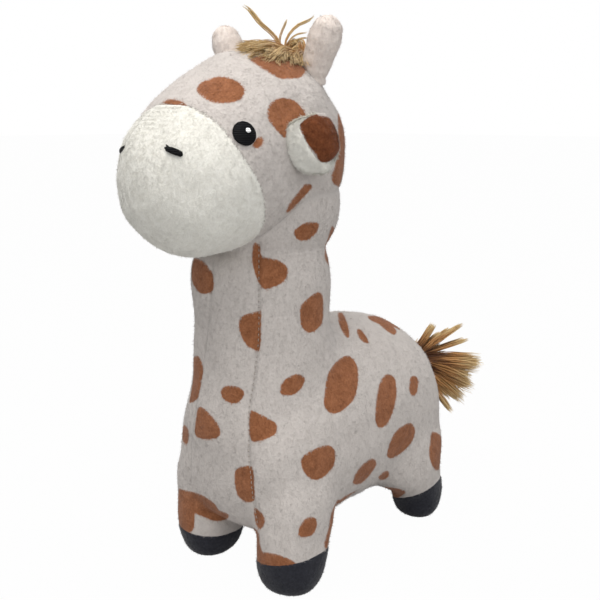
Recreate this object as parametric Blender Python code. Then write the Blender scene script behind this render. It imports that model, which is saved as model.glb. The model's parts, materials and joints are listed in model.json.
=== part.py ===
"""A plush giraffe about 250 mm tall: sewn covers and filling, hoof caps, horns, ears, stitched face and tufts.

Metres, +Z up. The giraffe looks along -Y and its own left is +X. The floor is z = 0, and the middle of
its bounding box stands over the origin.
"""

import math

import bmesh
import bpy
from mathutils import Matrix, Vector
from mathutils.bvhtree import BVHTree

# Cloth and seams
CLOTH = 0.0015
SEAM_GAP = 0.0003
SOLE_FLAT = 0.0005
OVERRUN = 0.02

# Barrel, from the chest to the rump
BARREL_LENGTH = 0.153
BARREL_WIDTH = 0.084
BARREL_DEPTH = 0.091
BARREL_FRONT = -0.063
BELLY_HEIGHT = 0.0205
BARREL_MIDDLE = BELLY_HEIGHT + BARREL_DEPTH / 2

# Neck: a column with a round crown that the head sits on
NECK_LENGTH = 0.118
NECK_WIDTH = 0.061
NECK_DEPTH = 0.062
NECK_FOOT = 0.045
NECK_BACK_SET = -0.0320
NOD_HEIGHT = 0.171
NOD_BACK_SET = -0.030
CROWN_RADIUS = 0.0332

# Legs and hooves
FRONT_STANCE = -0.0432
REAR_STANCE = 0.0560
HALF_TRACK = 0.0270
FRONT_LEG_WIDTH = 0.029
REAR_LEG_WIDTH = 0.025
LEG_LENGTH = 0.056
HOOF_HEIGHT = 0.015

# Head and muzzle
HEAD_LENGTH = 0.1025
HEAD_WIDTH = 0.074
HEAD_DEPTH = 0.078
HEAD_BACK = 0.004
HEAD_MIDDLE = 0.190
MUZZLE_REACH = 0.0535
MUZZLE_SPREAD_SHARE = 1.0
MUZZLE_CENTRE_Y = -0.105
MUZZLE_CENTRE_Z = 0.1637

# Horns
HORN_LENGTH = 0.026
HORN_WIDTH = 0.0140
HORN_BALL = 0.0054
HORN_SINK = 0.0010
HORN_OUT_SHARE = 0.297
HORN_BACK_SET = -0.0235
HORN_LEAN = math.radians(24)

# Ears
EAR_LENGTH = 0.025
EAR_WIDTH = 0.024
EAR_THICKNESS = 0.0068
EAR_ROLL = 0.0025
EAR_ROLL_LENGTH = 0.013
EAR_HEIGHT = 0.2045
EAR_BACK_SET = -0.0470
EAR_STAND_OFF = 0.0010
EAR_SPREAD = math.radians(14)
EAR_SWEEP = math.radians(22)
EAR_LEAF_OUT = 0.0020

# Eyes and nostrils
EYE_WIDTH = 0.0093
EYE_TALL = 0.0097
EYE_RIM = 0.0006
EYE_CROWN = 0.0009
EYE_Y = -0.0722
EYE_HEIGHT = 0.2004
GLINT_WIDTH = 0.0026
GLINT_RIM = 0.0002
GLINT_CROWN = 0.0002
GLINT_BACK = 0.0012
GLINT_UP = 0.0004
NOSTRIL_WIDTH = 0.0080
NOSTRIL_TALL = 0.0024
NOSTRIL_RIM = 0.0004
NOSTRIL_CROWN = 0.0006
NOSTRIL_TILT = math.radians(19)
NOSTRIL_OUT_SHARE = 0.21
NOSTRIL_HEIGHT = 0.1940

# Hair and tail tufts
HAIR_WIDTH_SHARE = 0.324
HAIR_LENGTH_SHARE = 0.216
HAIR_RIM = 0.0008
HAIR_CROWN = 0.0050
HAIR_BACK_SET = -0.0230
HAIR_LOCK_REACH_SHARE = 0.195
HAIR_LOCK_WIDTH_SHARE = 0.06
HAIR_LOCK_RISE_SHARE = 0.076
STRAY_LOCK_REACH_SHARE = 0.32
TAIL_HEIGHT = 0.072
TAIL_BALL = 0.0045
TAIL_CORE_LENGTH = 0.024
TAIL_LOCK_START = 0.0100
TAIL_CORE_WIDTH = 0.013
TAIL_LOCK_REACH = 0.031
TAIL_LOCK_WIDTH = 0.0068
TAIL_LEAN = math.radians(28)
TAIL_DROOP = math.radians(2)

# How finely each form is faceted
BARREL_SIDES = 20
NECK_SIDES = 18
LEG_SIDES = 12
HEAD_SIDES = 20
SMALL_SIDES = 10
NECK_CUTTER_SIDES = 36
HEAD_CUTTER_SIDES = 40
SMALL_CUTTER_SIDES = 20
LOCK_SIDES = 6
FINE_STEPS = 2
PLAIN_STEPS = 1
PATCH_RINGS = 2
PATCH_SIDES = 16
HAIR_LOCKS = 10
TAIL_LOCKS = 12
ROUNDNESS_SHARE = 2.15
SHARP_ANGLE = math.radians(50)

# Rows of each form as shares: (along the length, width, depth, shift of the middle in depths)
BARREL_SHARES = (
    (0.000, 0.00, 0.00, -0.10),
    (0.020, 0.60, 0.50, -0.09),
    (0.072, 0.82, 0.73, -0.085),
    (0.150, 0.93, 0.885, -0.052),
    (0.281, 0.98, 0.974, -0.030),
    (0.412, 0.98, 1.003, -0.020),
    (0.542, 0.965, 1.015, -0.020),
    (0.673, 0.93, 1.003, -0.042),
    (0.771, 0.885, 0.943, -0.078),
    (0.856, 0.72, 0.802, -0.115),
    (0.935, 0.46, 0.54, -0.120),
    (0.980, 0.23, 0.29, -0.120),
    (1.000, 0.00, 0.00, -0.120),
)
NECK_SHARES = (
    (0.000, 0.00, 0.00, 0.01),
    (0.050, 0.80, 0.75, 0.01),
    (0.150, 1.28, 1.08, 0.01),
    (0.270, 1.15, 1.10, 0.01),
    (0.370, 1.065, 1.05, 0.01),
    (0.500, 0.995, 1.00, 0.01),
    (0.680, 0.97, 0.96, -0.01),
    (0.810, 0.98, 0.97, -0.02),
    (0.900, 0.86, 0.84, 0.00),
    (0.970, 0.45, 0.45, 0.03),
    (1.000, 0.00, 0.00, 0.03),
)
FRONT_LEG_SHARES = (
    (0.000, 0.00, 0.00, 0.00),
    (0.010, 0.50, 0.50, 0.00),
    (0.040, 0.73, 0.73, 0.00),
    (0.110, 0.88, 0.88, 0.00),
    (0.190, 0.96, 0.96, 0.00),
    (0.270, 1.00, 1.00, 0.00),
    (0.410, 1.00, 1.08, 0.04),
    (0.540, 1.00, 1.20, 0.09),
    (0.700, 1.02, 1.26, 0.12),
    (0.880, 0.90, 1.05, 0.10),
    (1.000, 0.00, 0.00, 0.06),
)
REAR_LEG_SHARES = (
    (0.000, 0.00, 0.00, 0.00),
    (0.010, 0.50, 0.50, 0.00),
    (0.040, 0.73, 0.73, 0.00),
    (0.110, 0.88, 0.88, 0.00),
    (0.190, 0.96, 0.99, -0.02),
    (0.270, 1.00, 1.11, -0.05),
    (0.360, 1.00, 1.38, -0.19),
    (0.480, 1.04, 1.73, -0.36),
    (0.640, 1.10, 1.90, -0.45),
    (0.840, 1.00, 1.70, -0.42),
    (1.000, 0.00, 0.00, -0.30),
)
HEAD_SHARES = (
    (0.000, 0.000, 0.000, 0.000),
    (0.029, 0.419, 0.423, 0.000),
    (0.106, 0.703, 0.705, -0.006),
    (0.221, 0.919, 0.923, 0.032),
    (0.356, 1.000, 1.000, 0.058),
    (0.490, 1.000, 1.000, 0.051),
    (0.606, 0.978, 0.962, 0.006),
    (0.712, 0.941, 0.897, -0.038),
    (0.817, 0.870, 0.782, -0.090),
    (0.913, 0.662, 0.577, -0.103),
    (0.976, 0.351, 0.308, -0.096),
    (1.000, 0.000, 0.000, -0.096),
)
HORN_SHARES = (
    (0.00, 0.00, 0.00, 0.00),
    (0.04, 0.50, 0.50, 0.00),
    (0.18, 0.74, 0.74, 0.00),
    (0.40, 0.92, 0.92, 0.00),
    (0.66, 1.00, 1.00, 0.00),
    (0.88, 0.80, 0.80, 0.00),
    (0.97, 0.42, 0.42, 0.00),
    (1.00, 0.00, 0.00, 0.00),
)
EAR_SHARES = (
    (0.00, 0.00, 0.00, 0.00),
    (0.05, 0.52, 0.50, 0.00),
    (0.22, 0.82, 0.82, 0.00),
    (0.50, 1.00, 1.00, 0.00),
    (0.78, 0.84, 0.86, 0.00),
    (0.95, 0.44, 0.46, 0.00),
    (1.00, 0.00, 0.00, 0.00),
)
LOCK_SHARES = ((0.00, 0.70), (0.30, 1.00), (0.62, 0.85), (0.88, 0.50))
STRAY_LEAN_SHARES = ((-0.58, -0.51, 1.00), (0.20, 0.18, 0.58), (0.72, 0.65, 0.90))
LOCK_STEP_SHARE = 0.10
LOCK_ROOT_SHARE = 0.40
TAIL_OPEN_SHARE = 0.40
TAIL_OPEN_STEP_SHARE = 0.33
TAIL_SHARES = (
    (0.00, 0.00, 0.00, 0.00),
    (0.06, 0.40, 0.40, 0.00),
    (0.30, 0.80, 0.80, 0.00),
    (0.60, 1.00, 1.00, 0.00),
    (0.88, 0.62, 0.62, 0.00),
    (1.00, 0.00, 0.00, 0.00),
)

# Colours and surfaces
COAT = (0.75, 0.66, 0.60, 1.0)
CREAM = (0.86, 0.83, 0.76, 1.0)
CHARCOAL = (0.030, 0.031, 0.040, 1.0)
THREAD_BLACK = (0.010, 0.010, 0.012, 1.0)
THREAD_WHITE = (0.90, 0.90, 0.90, 1.0)
GOLD = (0.38, 0.22, 0.09, 1.0)
FIBRE = (0.92, 0.92, 0.90, 1.0)


def clear_scene():
    for old in list(bpy.data.objects):
        bpy.data.objects.remove(old)


def new_object(name, shape):
    """An object in the scene that holds this bmesh, which is freed."""
    bmesh.ops.recalc_face_normals(shape, faces=shape.faces)
    mesh = bpy.data.meshes.new(name)
    shape.to_mesh(mesh)
    shape.free()
    made = bpy.data.objects.new(name, mesh)
    bpy.context.scene.collection.objects.link(made)
    return made


def between(before, start, end, after, share):
    """A Catmull-Rom point between start and end."""
    point = []
    for a, b, c, d in zip(before, start, end, after):
        square = 2 * a - 5 * b + 4 * c - d
        cube = 3 * b - a - 3 * c + d
        point.append((2 * b + (c - a) * share + square * share**2 + cube * share**3) / 2)
    return tuple(point)


def smooth_rows(shares, steps):
    """The rows with steps between them. A form's ends are round, as its skin passes through the axis."""
    head, tail = shares[1], shares[-2]
    rows = [(head[0], -head[1], -head[2], head[3]), *shares, (tail[0], -tail[1], -tail[2], tail[3])]
    smooth = []
    for index in range(1, len(rows) - 2):
        for step in range(steps):
            smooth.append(between(*rows[index - 1 : index + 3], step / steps))
    return smooth + [rows[-2]]


def ring_point(turn, half_width, half_depth):
    """A point on a slightly squared ellipse."""
    across, up = math.cos(turn), math.sin(turn)
    squared = 2 / ROUNDNESS_SHARE
    return (
        math.copysign(abs(across) ** squared, across) * half_width,
        math.copysign(abs(up) ** squared, up) * half_depth,
    )


def stuffed(name, shares, sides, steps, start, along, deep, length, width, depth, grow=0.0):
    """A closed swelling form along one direction, with its skin moved out by grow."""
    across = along.cross(deep)
    shape = bmesh.new()
    rings = []
    for share, wide, high, shift in smooth_rows(shares, steps):
        middle = start + along * (share * length) + deep * (shift * depth)
        if wide == 0:
            rings.append([shape.verts.new(middle)])
            continue
        ring = []
        for side in range(sides):
            x, y = ring_point(side * math.tau / sides, wide * width / 2, high * depth / 2)
            ring.append(shape.verts.new(middle + across * x + deep * y))
        rings.append(ring)
    for low, high in zip(rings, rings[1:]):
        join_rings(shape, low, high)
    bmesh.ops.recalc_face_normals(shape, faces=shape.faces)
    shape.normal_update()
    moved = [(vertex, vertex.co + vertex.normal * grow) for vertex in shape.verts]
    for vertex, place in moved:
        vertex.co = place
    return new_object(name, shape)


def join_rings(shape, low, high):
    """Faces between two rings, either of which may be a single point."""
    count = max(len(low), len(high))
    for index in range(count):
        after = (index + 1) % count
        if len(low) == 1:
            shape.faces.new((low[0], high[index], high[after]))
        elif len(high) == 1:
            shape.faces.new((low[index], high[0], low[after]))
        else:
            shape.faces.new((low[index], high[index], high[after], low[after]))


def ball(name, centre, radius, sides=NECK_SIDES, stretch=1.0):
    shape = bmesh.new()
    bmesh.ops.create_uvsphere(shape, u_segments=sides, v_segments=sides // 2, radius=radius)
    bmesh.ops.transform(
        shape, matrix=Matrix.Translation(centre) @ Matrix.Diagonal((stretch, 1, 1, 1)), verts=shape.verts
    )
    return new_object(name, shape)


def rod(name, start, end, radius, sides=SMALL_SIDES):
    """A round bar between two points."""
    run = end - start
    shape = bmesh.new()
    bmesh.ops.create_cone(
        shape, cap_ends=True, segments=sides, radius1=radius, radius2=radius, depth=run.length
    )
    turn = run.to_track_quat("Z", "Y").to_matrix().to_4x4()
    bmesh.ops.transform(shape, matrix=Matrix.Translation((start + end) / 2) @ turn, verts=shape.verts)
    return new_object(name, shape)


def block(name, low, high):
    shape = bmesh.new()
    bmesh.ops.create_cube(shape, size=1.0)
    size = high - low
    bmesh.ops.transform(
        shape, matrix=Matrix.Translation((low + high) / 2) @ Matrix.Diagonal((*size, 1)), verts=shape.verts
    )
    return new_object(name, shape)


def settle(made):
    """Gives the object the mesh that its modifiers make."""
    graph = bpy.context.evaluated_depsgraph_get()
    mesh = bpy.data.meshes.new_from_object(made.evaluated_get(graph))
    made.modifiers.clear()
    made.data = mesh


def combine(made, tools, operation):
    """Cuts, joins or crosses the object with each tool in turn, and takes the tools away."""
    for tool in tools:
        modifier = made.modifiers.new(operation, "BOOLEAN")
        modifier.operation = operation
        modifier.solver = "EXACT"
        modifier.object = tool
        settle(made)
        bpy.data.objects.remove(tool)
    return made


def cut(made, *tools):
    return combine(made, tools, "DIFFERENCE")


def join(made, *tools):
    return combine(made, tools, "UNION")


def cross(made, *tools):
    return combine(made, tools, "INTERSECT")


X_AXIS, Y_AXIS, Z_AXIS = Vector((1, 0, 0)), Vector((0, 1, 0)), Vector((0, 0, 1))
NOD_PIVOT = Vector((0, NOD_BACK_SET, NOD_HEIGHT))
LEGS = {
    "front_left": (HALF_TRACK, FRONT_STANCE, FRONT_LEG_WIDTH),
    "front_right": (-HALF_TRACK, FRONT_STANCE, FRONT_LEG_WIDTH),
    "rear_left": (HALF_TRACK, REAR_STANCE, REAR_LEG_WIDTH),
    "rear_right": (-HALF_TRACK, REAR_STANCE, REAR_LEG_WIDTH),
}
SIDES = {"left": 1, "right": -1}


def barrel_form(grow=0.0):
    start = Vector((0, BARREL_FRONT, BARREL_MIDDLE))
    size = (BARREL_LENGTH, BARREL_WIDTH, BARREL_DEPTH)
    return stuffed("barrel", BARREL_SHARES, BARREL_SIDES, FINE_STEPS, start, Y_AXIS, Z_AXIS, *size, grow)


def neck_form(grow=0.0):
    start = Vector((0, NECK_BACK_SET, NECK_FOOT))
    size = (NECK_LENGTH, NECK_WIDTH, NECK_DEPTH)
    column = stuffed("neck", NECK_SHARES, NECK_SIDES, FINE_STEPS, start, Z_AXIS, Y_AXIS, *size, grow)
    return join(column, ball("crown", NOD_PIVOT, CROWN_RADIUS + grow))


def leg_form(corner, grow=0.0):
    out, stance, width = LEGS[corner]
    start = Vector((out, stance, -SOLE_FLAT))
    shares = FRONT_LEG_SHARES if stance < 0 else REAR_LEG_SHARES
    size = (LEG_LENGTH, width, width)
    return stuffed("leg", shares, LEG_SIDES, PLAIN_STEPS, start, Z_AXIS, Y_AXIS, *size, grow)


def head_form(grow=0.0):
    start = Vector((0, HEAD_BACK, HEAD_MIDDLE))
    size = (HEAD_LENGTH, HEAD_WIDTH, HEAD_DEPTH)
    return stuffed("head", HEAD_SHARES, HEAD_SIDES, FINE_STEPS, start, -Y_AXIS, Z_AXIS, *size, grow)


def neck_socket():
    return ball("socket", NOD_PIVOT, CROWN_RADIUS + SEAM_GAP, NECK_CUTTER_SIDES)


def muzzle_edge(grow=0.0):
    """The round cut along which the muzzle's cloth meets the coat."""
    centre = Vector((0, MUZZLE_CENTRE_Y, MUZZLE_CENTRE_Z))
    return ball("muzzle_edge", centre, MUZZLE_REACH + grow, HEAD_CUTTER_SIDES, MUZZLE_SPREAD_SHARE)


def slab(low_height, high_height):
    """A wide block between two heights."""
    reach = BARREL_LENGTH
    return block("slab", Vector((-reach, -reach, low_height)), Vector((reach, reach, high_height)))


def material(name, colour, roughness):
    made = bpy.data.materials.new(name)
    made.use_nodes = True
    shader = made.node_tree.nodes["Principled BSDF"]
    shader.inputs["Base Color"].default_value = colour
    shader.inputs["Roughness"].default_value = roughness
    shader.inputs["Metallic"].default_value = 0.0
    return made


def finish(made, name, look, parent, pivot=None):
    """Names the piece, dresses it, sets its origin on its joint and hangs it on its parent."""
    made.name = name
    made.data.name = name
    made.data.materials.clear()
    made.data.materials.append(look)
    clean = bmesh.new()
    clean.from_mesh(made.data)
    bmesh.ops.remove_doubles(clean, verts=clean.verts, dist=SEAM_GAP / 100)
    bmesh.ops.dissolve_degenerate(clean, edges=clean.edges, dist=SEAM_GAP / 100)
    clean.to_mesh(made.data)
    clean.free()
    made.data.shade_smooth()
    made.data.set_sharp_from_angle(angle=SHARP_ANGLE)
    place = pivot or Vector((0, 0, 0))
    made.data.transform(Matrix.Translation(-place))
    made.parent = parent
    made.location = place - parent_place(parent)
    return made


def parent_place(parent):
    """Where the chain of parents stands."""
    place = Vector((0, 0, 0))
    while parent:
        place += parent.location
        parent = parent.parent
    return place


def pivot(name, place, parent):
    """An empty on a joint's axis, which carries the pieces that move with it."""
    made = bpy.data.objects.new(name, None)
    bpy.context.scene.collection.objects.link(made)
    made.parent = parent
    made.location = place - parent_place(parent)
    return made


def tree_of(made):
    places = [vertex.co.copy() for vertex in made.data.vertices]
    return BVHTree.FromPolygons(places, [list(face.vertices) for face in made.data.polygons])


def patch(name, tree, origin, aim, width, tall, rim, crown, up=Z_AXIS, tilt=0.0):
    """A crowned oval that lies a seam's gap off the surface that the ray from origin along aim meets."""
    centre, normal = tree.ray_cast(origin, aim)[:2]
    side = Matrix.Rotation(tilt, 3, normal) @ up.cross(normal).normalized()
    rise = normal.cross(side)
    shape = bmesh.new()
    under, over = [], []
    for ring in range(PATCH_RINGS + 1):
        share = ring / PATCH_RINGS
        low, high = [], []
        for step in range(PATCH_SIDES if ring else 1):
            turn = step * math.tau / PATCH_SIDES
            shift = side * (math.cos(turn) * share * width / 2) + rise * (math.sin(turn) * share * tall / 2)
            spot = tree.ray_cast(centre + normal * width + shift, -normal)[0]
            low.append(shape.verts.new(spot + normal * SEAM_GAP))
            height = SEAM_GAP + rim + crown * math.sqrt(1 - share**2)
            high.append(shape.verts.new(spot + normal * height))
        under.append(low)
        over.append(high)
    for rings in (under, over):
        for inner, outer in zip(rings, rings[1:]):
            join_rings(shape, inner, outer)
    join_rings(shape, under[-1], over[-1])
    return new_object(name, shape), centre, normal


def lock(name, start, aim, reach, width, fall):
    """A tapered lock of hair that leaves start along aim and bends by fall at its tip. No two locks meet
    in one point, as each begins a little way along its own aim."""
    shape = bmesh.new()
    side = aim.orthogonal().normalized()
    rise = side.cross(aim)
    rings = []
    for share, thick in LOCK_SHARES:
        middle = start + aim * (LOCK_ROOT_SHARE * width + share * reach) + fall * share**3
        ring = []
        for step in range(LOCK_SIDES):
            turn = step * math.tau / LOCK_SIDES
            spoke = side * math.cos(turn) + rise * math.sin(turn)
            ring.append(shape.verts.new(middle + spoke * (thick * width / 2)))
        rings.append(ring)
    rings.insert(0, [shape.verts.new(start)])
    rings.append([shape.verts.new(start + aim * (LOCK_ROOT_SHARE * width + reach) + fall)])
    for low, high in zip(rings, rings[1:]):
        join_rings(shape, low, high)
    return new_object(name, shape)


def make_body(looks, stand):
    """Barrel, neck and legs: open covers that meet at their seams, hoof caps, and one filling inside."""
    torso = cut(barrel_form(), barrel_form(-CLOTH), neck_form(-CLOTH))
    neck = cut(neck_form(), neck_form(-CLOTH), barrel_form(SEAM_GAP))
    filling = join(barrel_form(-CLOTH - SEAM_GAP), neck_form(-CLOTH - SEAM_GAP))
    for corner in LEGS:
        cut(torso, leg_form(corner, -CLOTH))
        leg = cut(leg_form(corner), leg_form(corner, -CLOTH), barrel_form(SEAM_GAP), neck_form(SEAM_GAP))
        cut(leg, slab(-OVERRUN, HOOF_HEIGHT + SEAM_GAP))
        hoof = cross(cut(leg_form(corner), leg_form(corner, -CLOTH)), slab(0.0, HOOF_HEIGHT))
        join(filling, leg_form(corner, -CLOTH - SEAM_GAP))
        finish(leg, f"leg_cover_{corner}", looks["coat"], stand)
        finish(hoof, f"hoof_{corner}", looks["hoof"], stand)
    return torso, neck, filling


def make_tail(torso, filling, looks, stand):
    """The tail's tuft on a round root in the rump."""
    aim = Matrix.Rotation(-TAIL_LEAN, 3, "Z") @ Matrix.Rotation(-TAIL_DROOP, 3, "X") @ Y_AXIS
    rump = tree_of(torso).ray_cast(Vector((0, BARREL_LENGTH, TAIL_HEIGHT)), -Y_AXIS)[0]
    cut(torso, ball("tail_socket", rump, TAIL_BALL + SEAM_GAP, SMALL_CUTTER_SIDES))
    cut(filling, ball("tail_socket", rump, TAIL_BALL + SEAM_GAP, SMALL_CUTTER_SIDES))
    side = aim.cross(Z_AXIS).normalized()
    size = (TAIL_CORE_LENGTH, TAIL_CORE_WIDTH, TAIL_CORE_WIDTH)
    core = stuffed("tail_core", TAIL_SHARES, SMALL_SIDES, PLAIN_STEPS, rump, aim, side, *size)
    join(core, ball("tail_root", rump, TAIL_BALL, SMALL_SIDES))
    for index in range(TAIL_LOCKS):
        turn = index * math.tau / TAIL_LOCKS
        open_share = TAIL_OPEN_SHARE + TAIL_OPEN_STEP_SHARE * (index % 3)
        spread = side * math.cos(turn) + side.cross(aim) * math.sin(turn)
        way = (aim + spread * open_share).normalized()
        reach = TAIL_LOCK_REACH * (1 - LOCK_STEP_SHARE * (index % 4))
        fall = Z_AXIS * (-TAIL_LOCK_WIDTH / 2)
        start = rump + aim * TAIL_LOCK_START + way * (TAIL_LOCK_WIDTH / 4)
        join(core, lock("lock", start, way, reach, TAIL_LOCK_WIDTH, fall))
    joint = pivot("tail_pivot", rump, stand)
    return finish(core, "tail_tuft", looks["tuft"], joint, rump)


def make_head(looks, stand):
    """Head and muzzle covers round one filling, seated on the neck's crown."""
    joint = pivot("head_pivot", NOD_PIVOT, stand)
    skin = head_form()
    tree = tree_of(skin)
    bpy.data.objects.remove(skin)
    muzzle = cross(cut(head_form(), head_form(-CLOTH), neck_socket()), muzzle_edge())
    head = cut(head_form(), head_form(-CLOTH), neck_socket(), muzzle_edge(SEAM_GAP))
    filling = cut(head_form(-CLOTH - SEAM_GAP), neck_socket())
    for side, sign in SIDES.items():
        make_horn(side, sign, tree, head, filling, looks, joint)
        make_ear(side, sign, tree, head, filling, looks, joint)
        make_eye(side, sign, tree, looks, joint)
        make_nostril(side, sign, tree, looks, joint)
    make_hair(tree, looks, joint)
    finish(head, "head_cover", looks["coat"], joint, NOD_PIVOT)
    finish(muzzle, "muzzle_cover", looks["muzzle"], joint, NOD_PIVOT)
    finish(filling, "head_filling", looks["fibre"], joint, NOD_PIVOT)


def make_horn(side, sign, tree, head, filling, looks, parent):
    """A stuffed horn whose round root sits in a shallow cup of the head."""
    above = Vector((sign * HORN_OUT_SHARE * HEAD_WIDTH, HORN_BACK_SET, HEAD_MIDDLE + HEAD_DEPTH))
    place = tree.ray_cast(above, -Z_AXIS)[0]
    place -= Z_AXIS * HORN_SINK
    aim = Matrix.Rotation(sign * HORN_LEAN, 3, "Y") @ Z_AXIS
    for piece in (head, filling):
        cut(piece, ball("horn_cup", place, HORN_BALL + SEAM_GAP, SMALL_CUTTER_SIDES))
    size = (HORN_LENGTH, HORN_WIDTH, HORN_WIDTH)
    horn = stuffed("horn", HORN_SHARES, SMALL_SIDES, PLAIN_STEPS, place, aim, Y_AXIS, *size)
    join(horn, ball("horn_root", place, HORN_BALL, SMALL_SIDES))
    finish(horn, f"horn_{side}", looks["coat"], pivot(f"horn_pivot_{side}", place, parent), place)


def make_ear(side, sign, tree, head, filling, looks, parent):
    """An ear of two cloths, hung from a rolled edge that lies in a groove of the head."""
    place = tree.ray_cast(Vector((sign * HEAD_WIDTH, EAR_BACK_SET, EAR_HEIGHT)), X_AXIS * -sign)[0]
    place += X_AXIS * (sign * EAR_STAND_OFF)
    along = Matrix.Rotation(EAR_SWEEP, 3, "X") @ Y_AXIS
    down = Matrix.Rotation(-sign * EAR_SPREAD, 3, along) @ Matrix.Rotation(EAR_SWEEP, 3, "X") @ -Z_AXIS
    outward = along.cross(down) * -sign
    top = place + outward * EAR_LEAF_OUT
    half_roll = along * (EAR_ROLL_LENGTH / 2)
    groove = half_roll + along * SEAM_GAP
    for piece in (head, filling):
        cut(piece, rod("groove", place - groove, place + groove, EAR_ROLL + SEAM_GAP, SMALL_CUTTER_SIDES))
    size = (EAR_LENGTH, EAR_WIDTH, EAR_THICKNESS)

    def leaf():
        return stuffed("leaf", EAR_SHARES, LEG_SIDES, PLAIN_STEPS, top, down, outward, *size)

    def half_space(shift, direction):
        """A block over one side of the leaf's middle plane."""
        made = block(
            "half", Vector((-EAR_WIDTH, -EAR_WIDTH, 0)), Vector((EAR_WIDTH, EAR_WIDTH, EAR_WIDTH))
        )
        turn = (outward * direction).to_track_quat("Z", "Y").to_matrix().to_4x4()
        centre = top + down * (EAR_LENGTH / 2) + outward * shift
        made.data.transform(Matrix.Translation(centre) @ turn)
        return made

    joint = pivot(f"ear_pivot_{side}", place, parent)
    lining = cut(cross(leaf(), half_space(-SEAM_GAP / 2, -1)), rod(
        "roll", place - groove, place + groove, EAR_ROLL + SEAM_GAP
    ))
    ear = cross(leaf(), half_space(SEAM_GAP / 2, 1))
    join(ear, rod("roll", place - half_roll, place + half_roll, EAR_ROLL))
    finish(ear, f"ear_{side}", looks["coat"], joint, place)
    finish(lining, f"ear_lining_{side}", looks["muzzle"], joint, place)


def make_eye(side, sign, tree, looks, parent):
    origin = Vector((sign * HEAD_WIDTH, EYE_Y, EYE_HEIGHT))
    eye, centre, normal = patch(
        "eye", tree, origin, X_AXIS * -sign, EYE_WIDTH, EYE_TALL, EYE_RIM, EYE_CROWN
    )
    spot = centre + normal * EYE_WIDTH + Y_AXIS * GLINT_BACK + Z_AXIS * GLINT_UP
    glint = patch("glint", tree_of(eye), spot, -normal, GLINT_WIDTH, GLINT_WIDTH, GLINT_RIM, GLINT_CROWN)[0]
    finish(eye, f"eye_{side}", looks["black_thread"], parent, NOD_PIVOT)
    finish(glint, f"eye_glint_{side}", looks["white_thread"], parent, NOD_PIVOT)


def make_nostril(side, sign, tree, looks, parent):
    origin = Vector((sign * NOSTRIL_OUT_SHARE * HEAD_WIDTH, -HEAD_LENGTH - OVERRUN, NOSTRIL_HEIGHT))
    nostril = patch(
        "nostril", tree, origin, Y_AXIS, NOSTRIL_WIDTH, NOSTRIL_TALL, NOSTRIL_RIM, NOSTRIL_CROWN,
        tilt=-sign * NOSTRIL_TILT,
    )[0]
    finish(nostril, f"nostril_{side}", looks["black_thread"], parent, NOD_PIVOT)


def make_hair(tree, looks, parent):
    """The crown's tuft: a low mop with locks that fan out and three that stand up."""
    origin = Vector((0, HAIR_BACK_SET, HEAD_MIDDLE + HEAD_DEPTH))
    width = HEAD_WIDTH * HAIR_WIDTH_SHARE
    length = HEAD_WIDTH * HAIR_LENGTH_SHARE
    mop, centre, normal = patch("mop", tree, origin, -Z_AXIS, width, length, HAIR_RIM, HAIR_CROWN, Y_AXIS)
    thick = HEAD_WIDTH * HAIR_LOCK_WIDTH_SHARE
    root = centre + normal * (SEAM_GAP + thick)
    for index in range(HAIR_LOCKS):
        turn = (index + 1 / 2) * math.tau / HAIR_LOCKS
        way = X_AXIS * math.cos(turn) + Y_AXIS * math.sin(turn)
        reach = HEAD_WIDTH * HAIR_LOCK_REACH_SHARE * (1 - LOCK_STEP_SHARE * (index % 3))
        tip = root + way * reach
        crown, rise = tree.ray_cast(tip, -Z_AXIS)[:2]
        fall = crown + rise * (HEAD_WIDTH * HAIR_LOCK_RISE_SHARE) - tip
        join(mop, lock("lock", root + way * (thick / 4), way, reach, thick, fall))
    for aside, back, share in STRAY_LEAN_SHARES:
        way = Vector((aside, back, 1)).normalized()
        reach = HEAD_WIDTH * STRAY_LOCK_REACH_SHARE * share
        join(mop, lock("stray", root + way * (thick / 4), way, reach, thick / 2, way * 0))
    finish(mop, "hair_tuft", looks["tuft"], parent, NOD_PIVOT)


def centre_over_origin(stand):
    """Moves the stand so that the middle of the giraffe's bounding box is over the origin."""
    bpy.context.view_layer.update()
    reach = [
        (made.matrix_world @ vertex.co).y
        for made in bpy.data.objects
        if made.type == "MESH"
        for vertex in made.data.vertices
    ]
    stand.location.y = -(min(reach) + max(reach)) / 2


def main():
    clear_scene()
    looks = {
        "coat": material("coat_plush", COAT, 0.95),
        "muzzle": material("cream_plush", CREAM, 0.97),
        "hoof": material("charcoal_velour", CHARCOAL, 0.9),
        "black_thread": material("black_thread", THREAD_BLACK, 0.55),
        "white_thread": material("white_thread", THREAD_WHITE, 0.55),
        "tuft": material("golden_pile", GOLD, 0.8),
        "fibre": material("fibre_filling", FIBRE, 1.0),
    }
    stand = pivot("stand", Vector((0, 0, 0)), None)
    torso, neck, filling = make_body(looks, stand)
    make_tail(torso, filling, looks, stand)
    finish(torso, "torso_cover", looks["coat"], stand)
    finish(neck, "neck_cover", looks["coat"], stand)
    finish(filling, "body_filling", looks["fibre"], stand)
    make_head(looks, stand)
    centre_over_origin(stand)
    bpy.context.view_layer.update()
    for made in bpy.data.objects:
        if made.type == "EMPTY":
            print("pivot", made.name, [round(value, 5) for value in made.matrix_world.translation])


main()
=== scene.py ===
"""A plush giraffe, dressed for its picture: sewn coat, printed spots, cream muzzle, velour hooves and tufts.

Metres, +Z up. The giraffe looks along -Y and its own left is +X. Spots and seams that the photograph shows
are laid on the coat from the camera's place, and the rest are laid from the side that they belong to.
"""

import json
import math

import bmesh
import bpy
import numpy as np
from mathutils import Matrix, Vector
from mathutils.bvhtree import BVHTree


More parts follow.
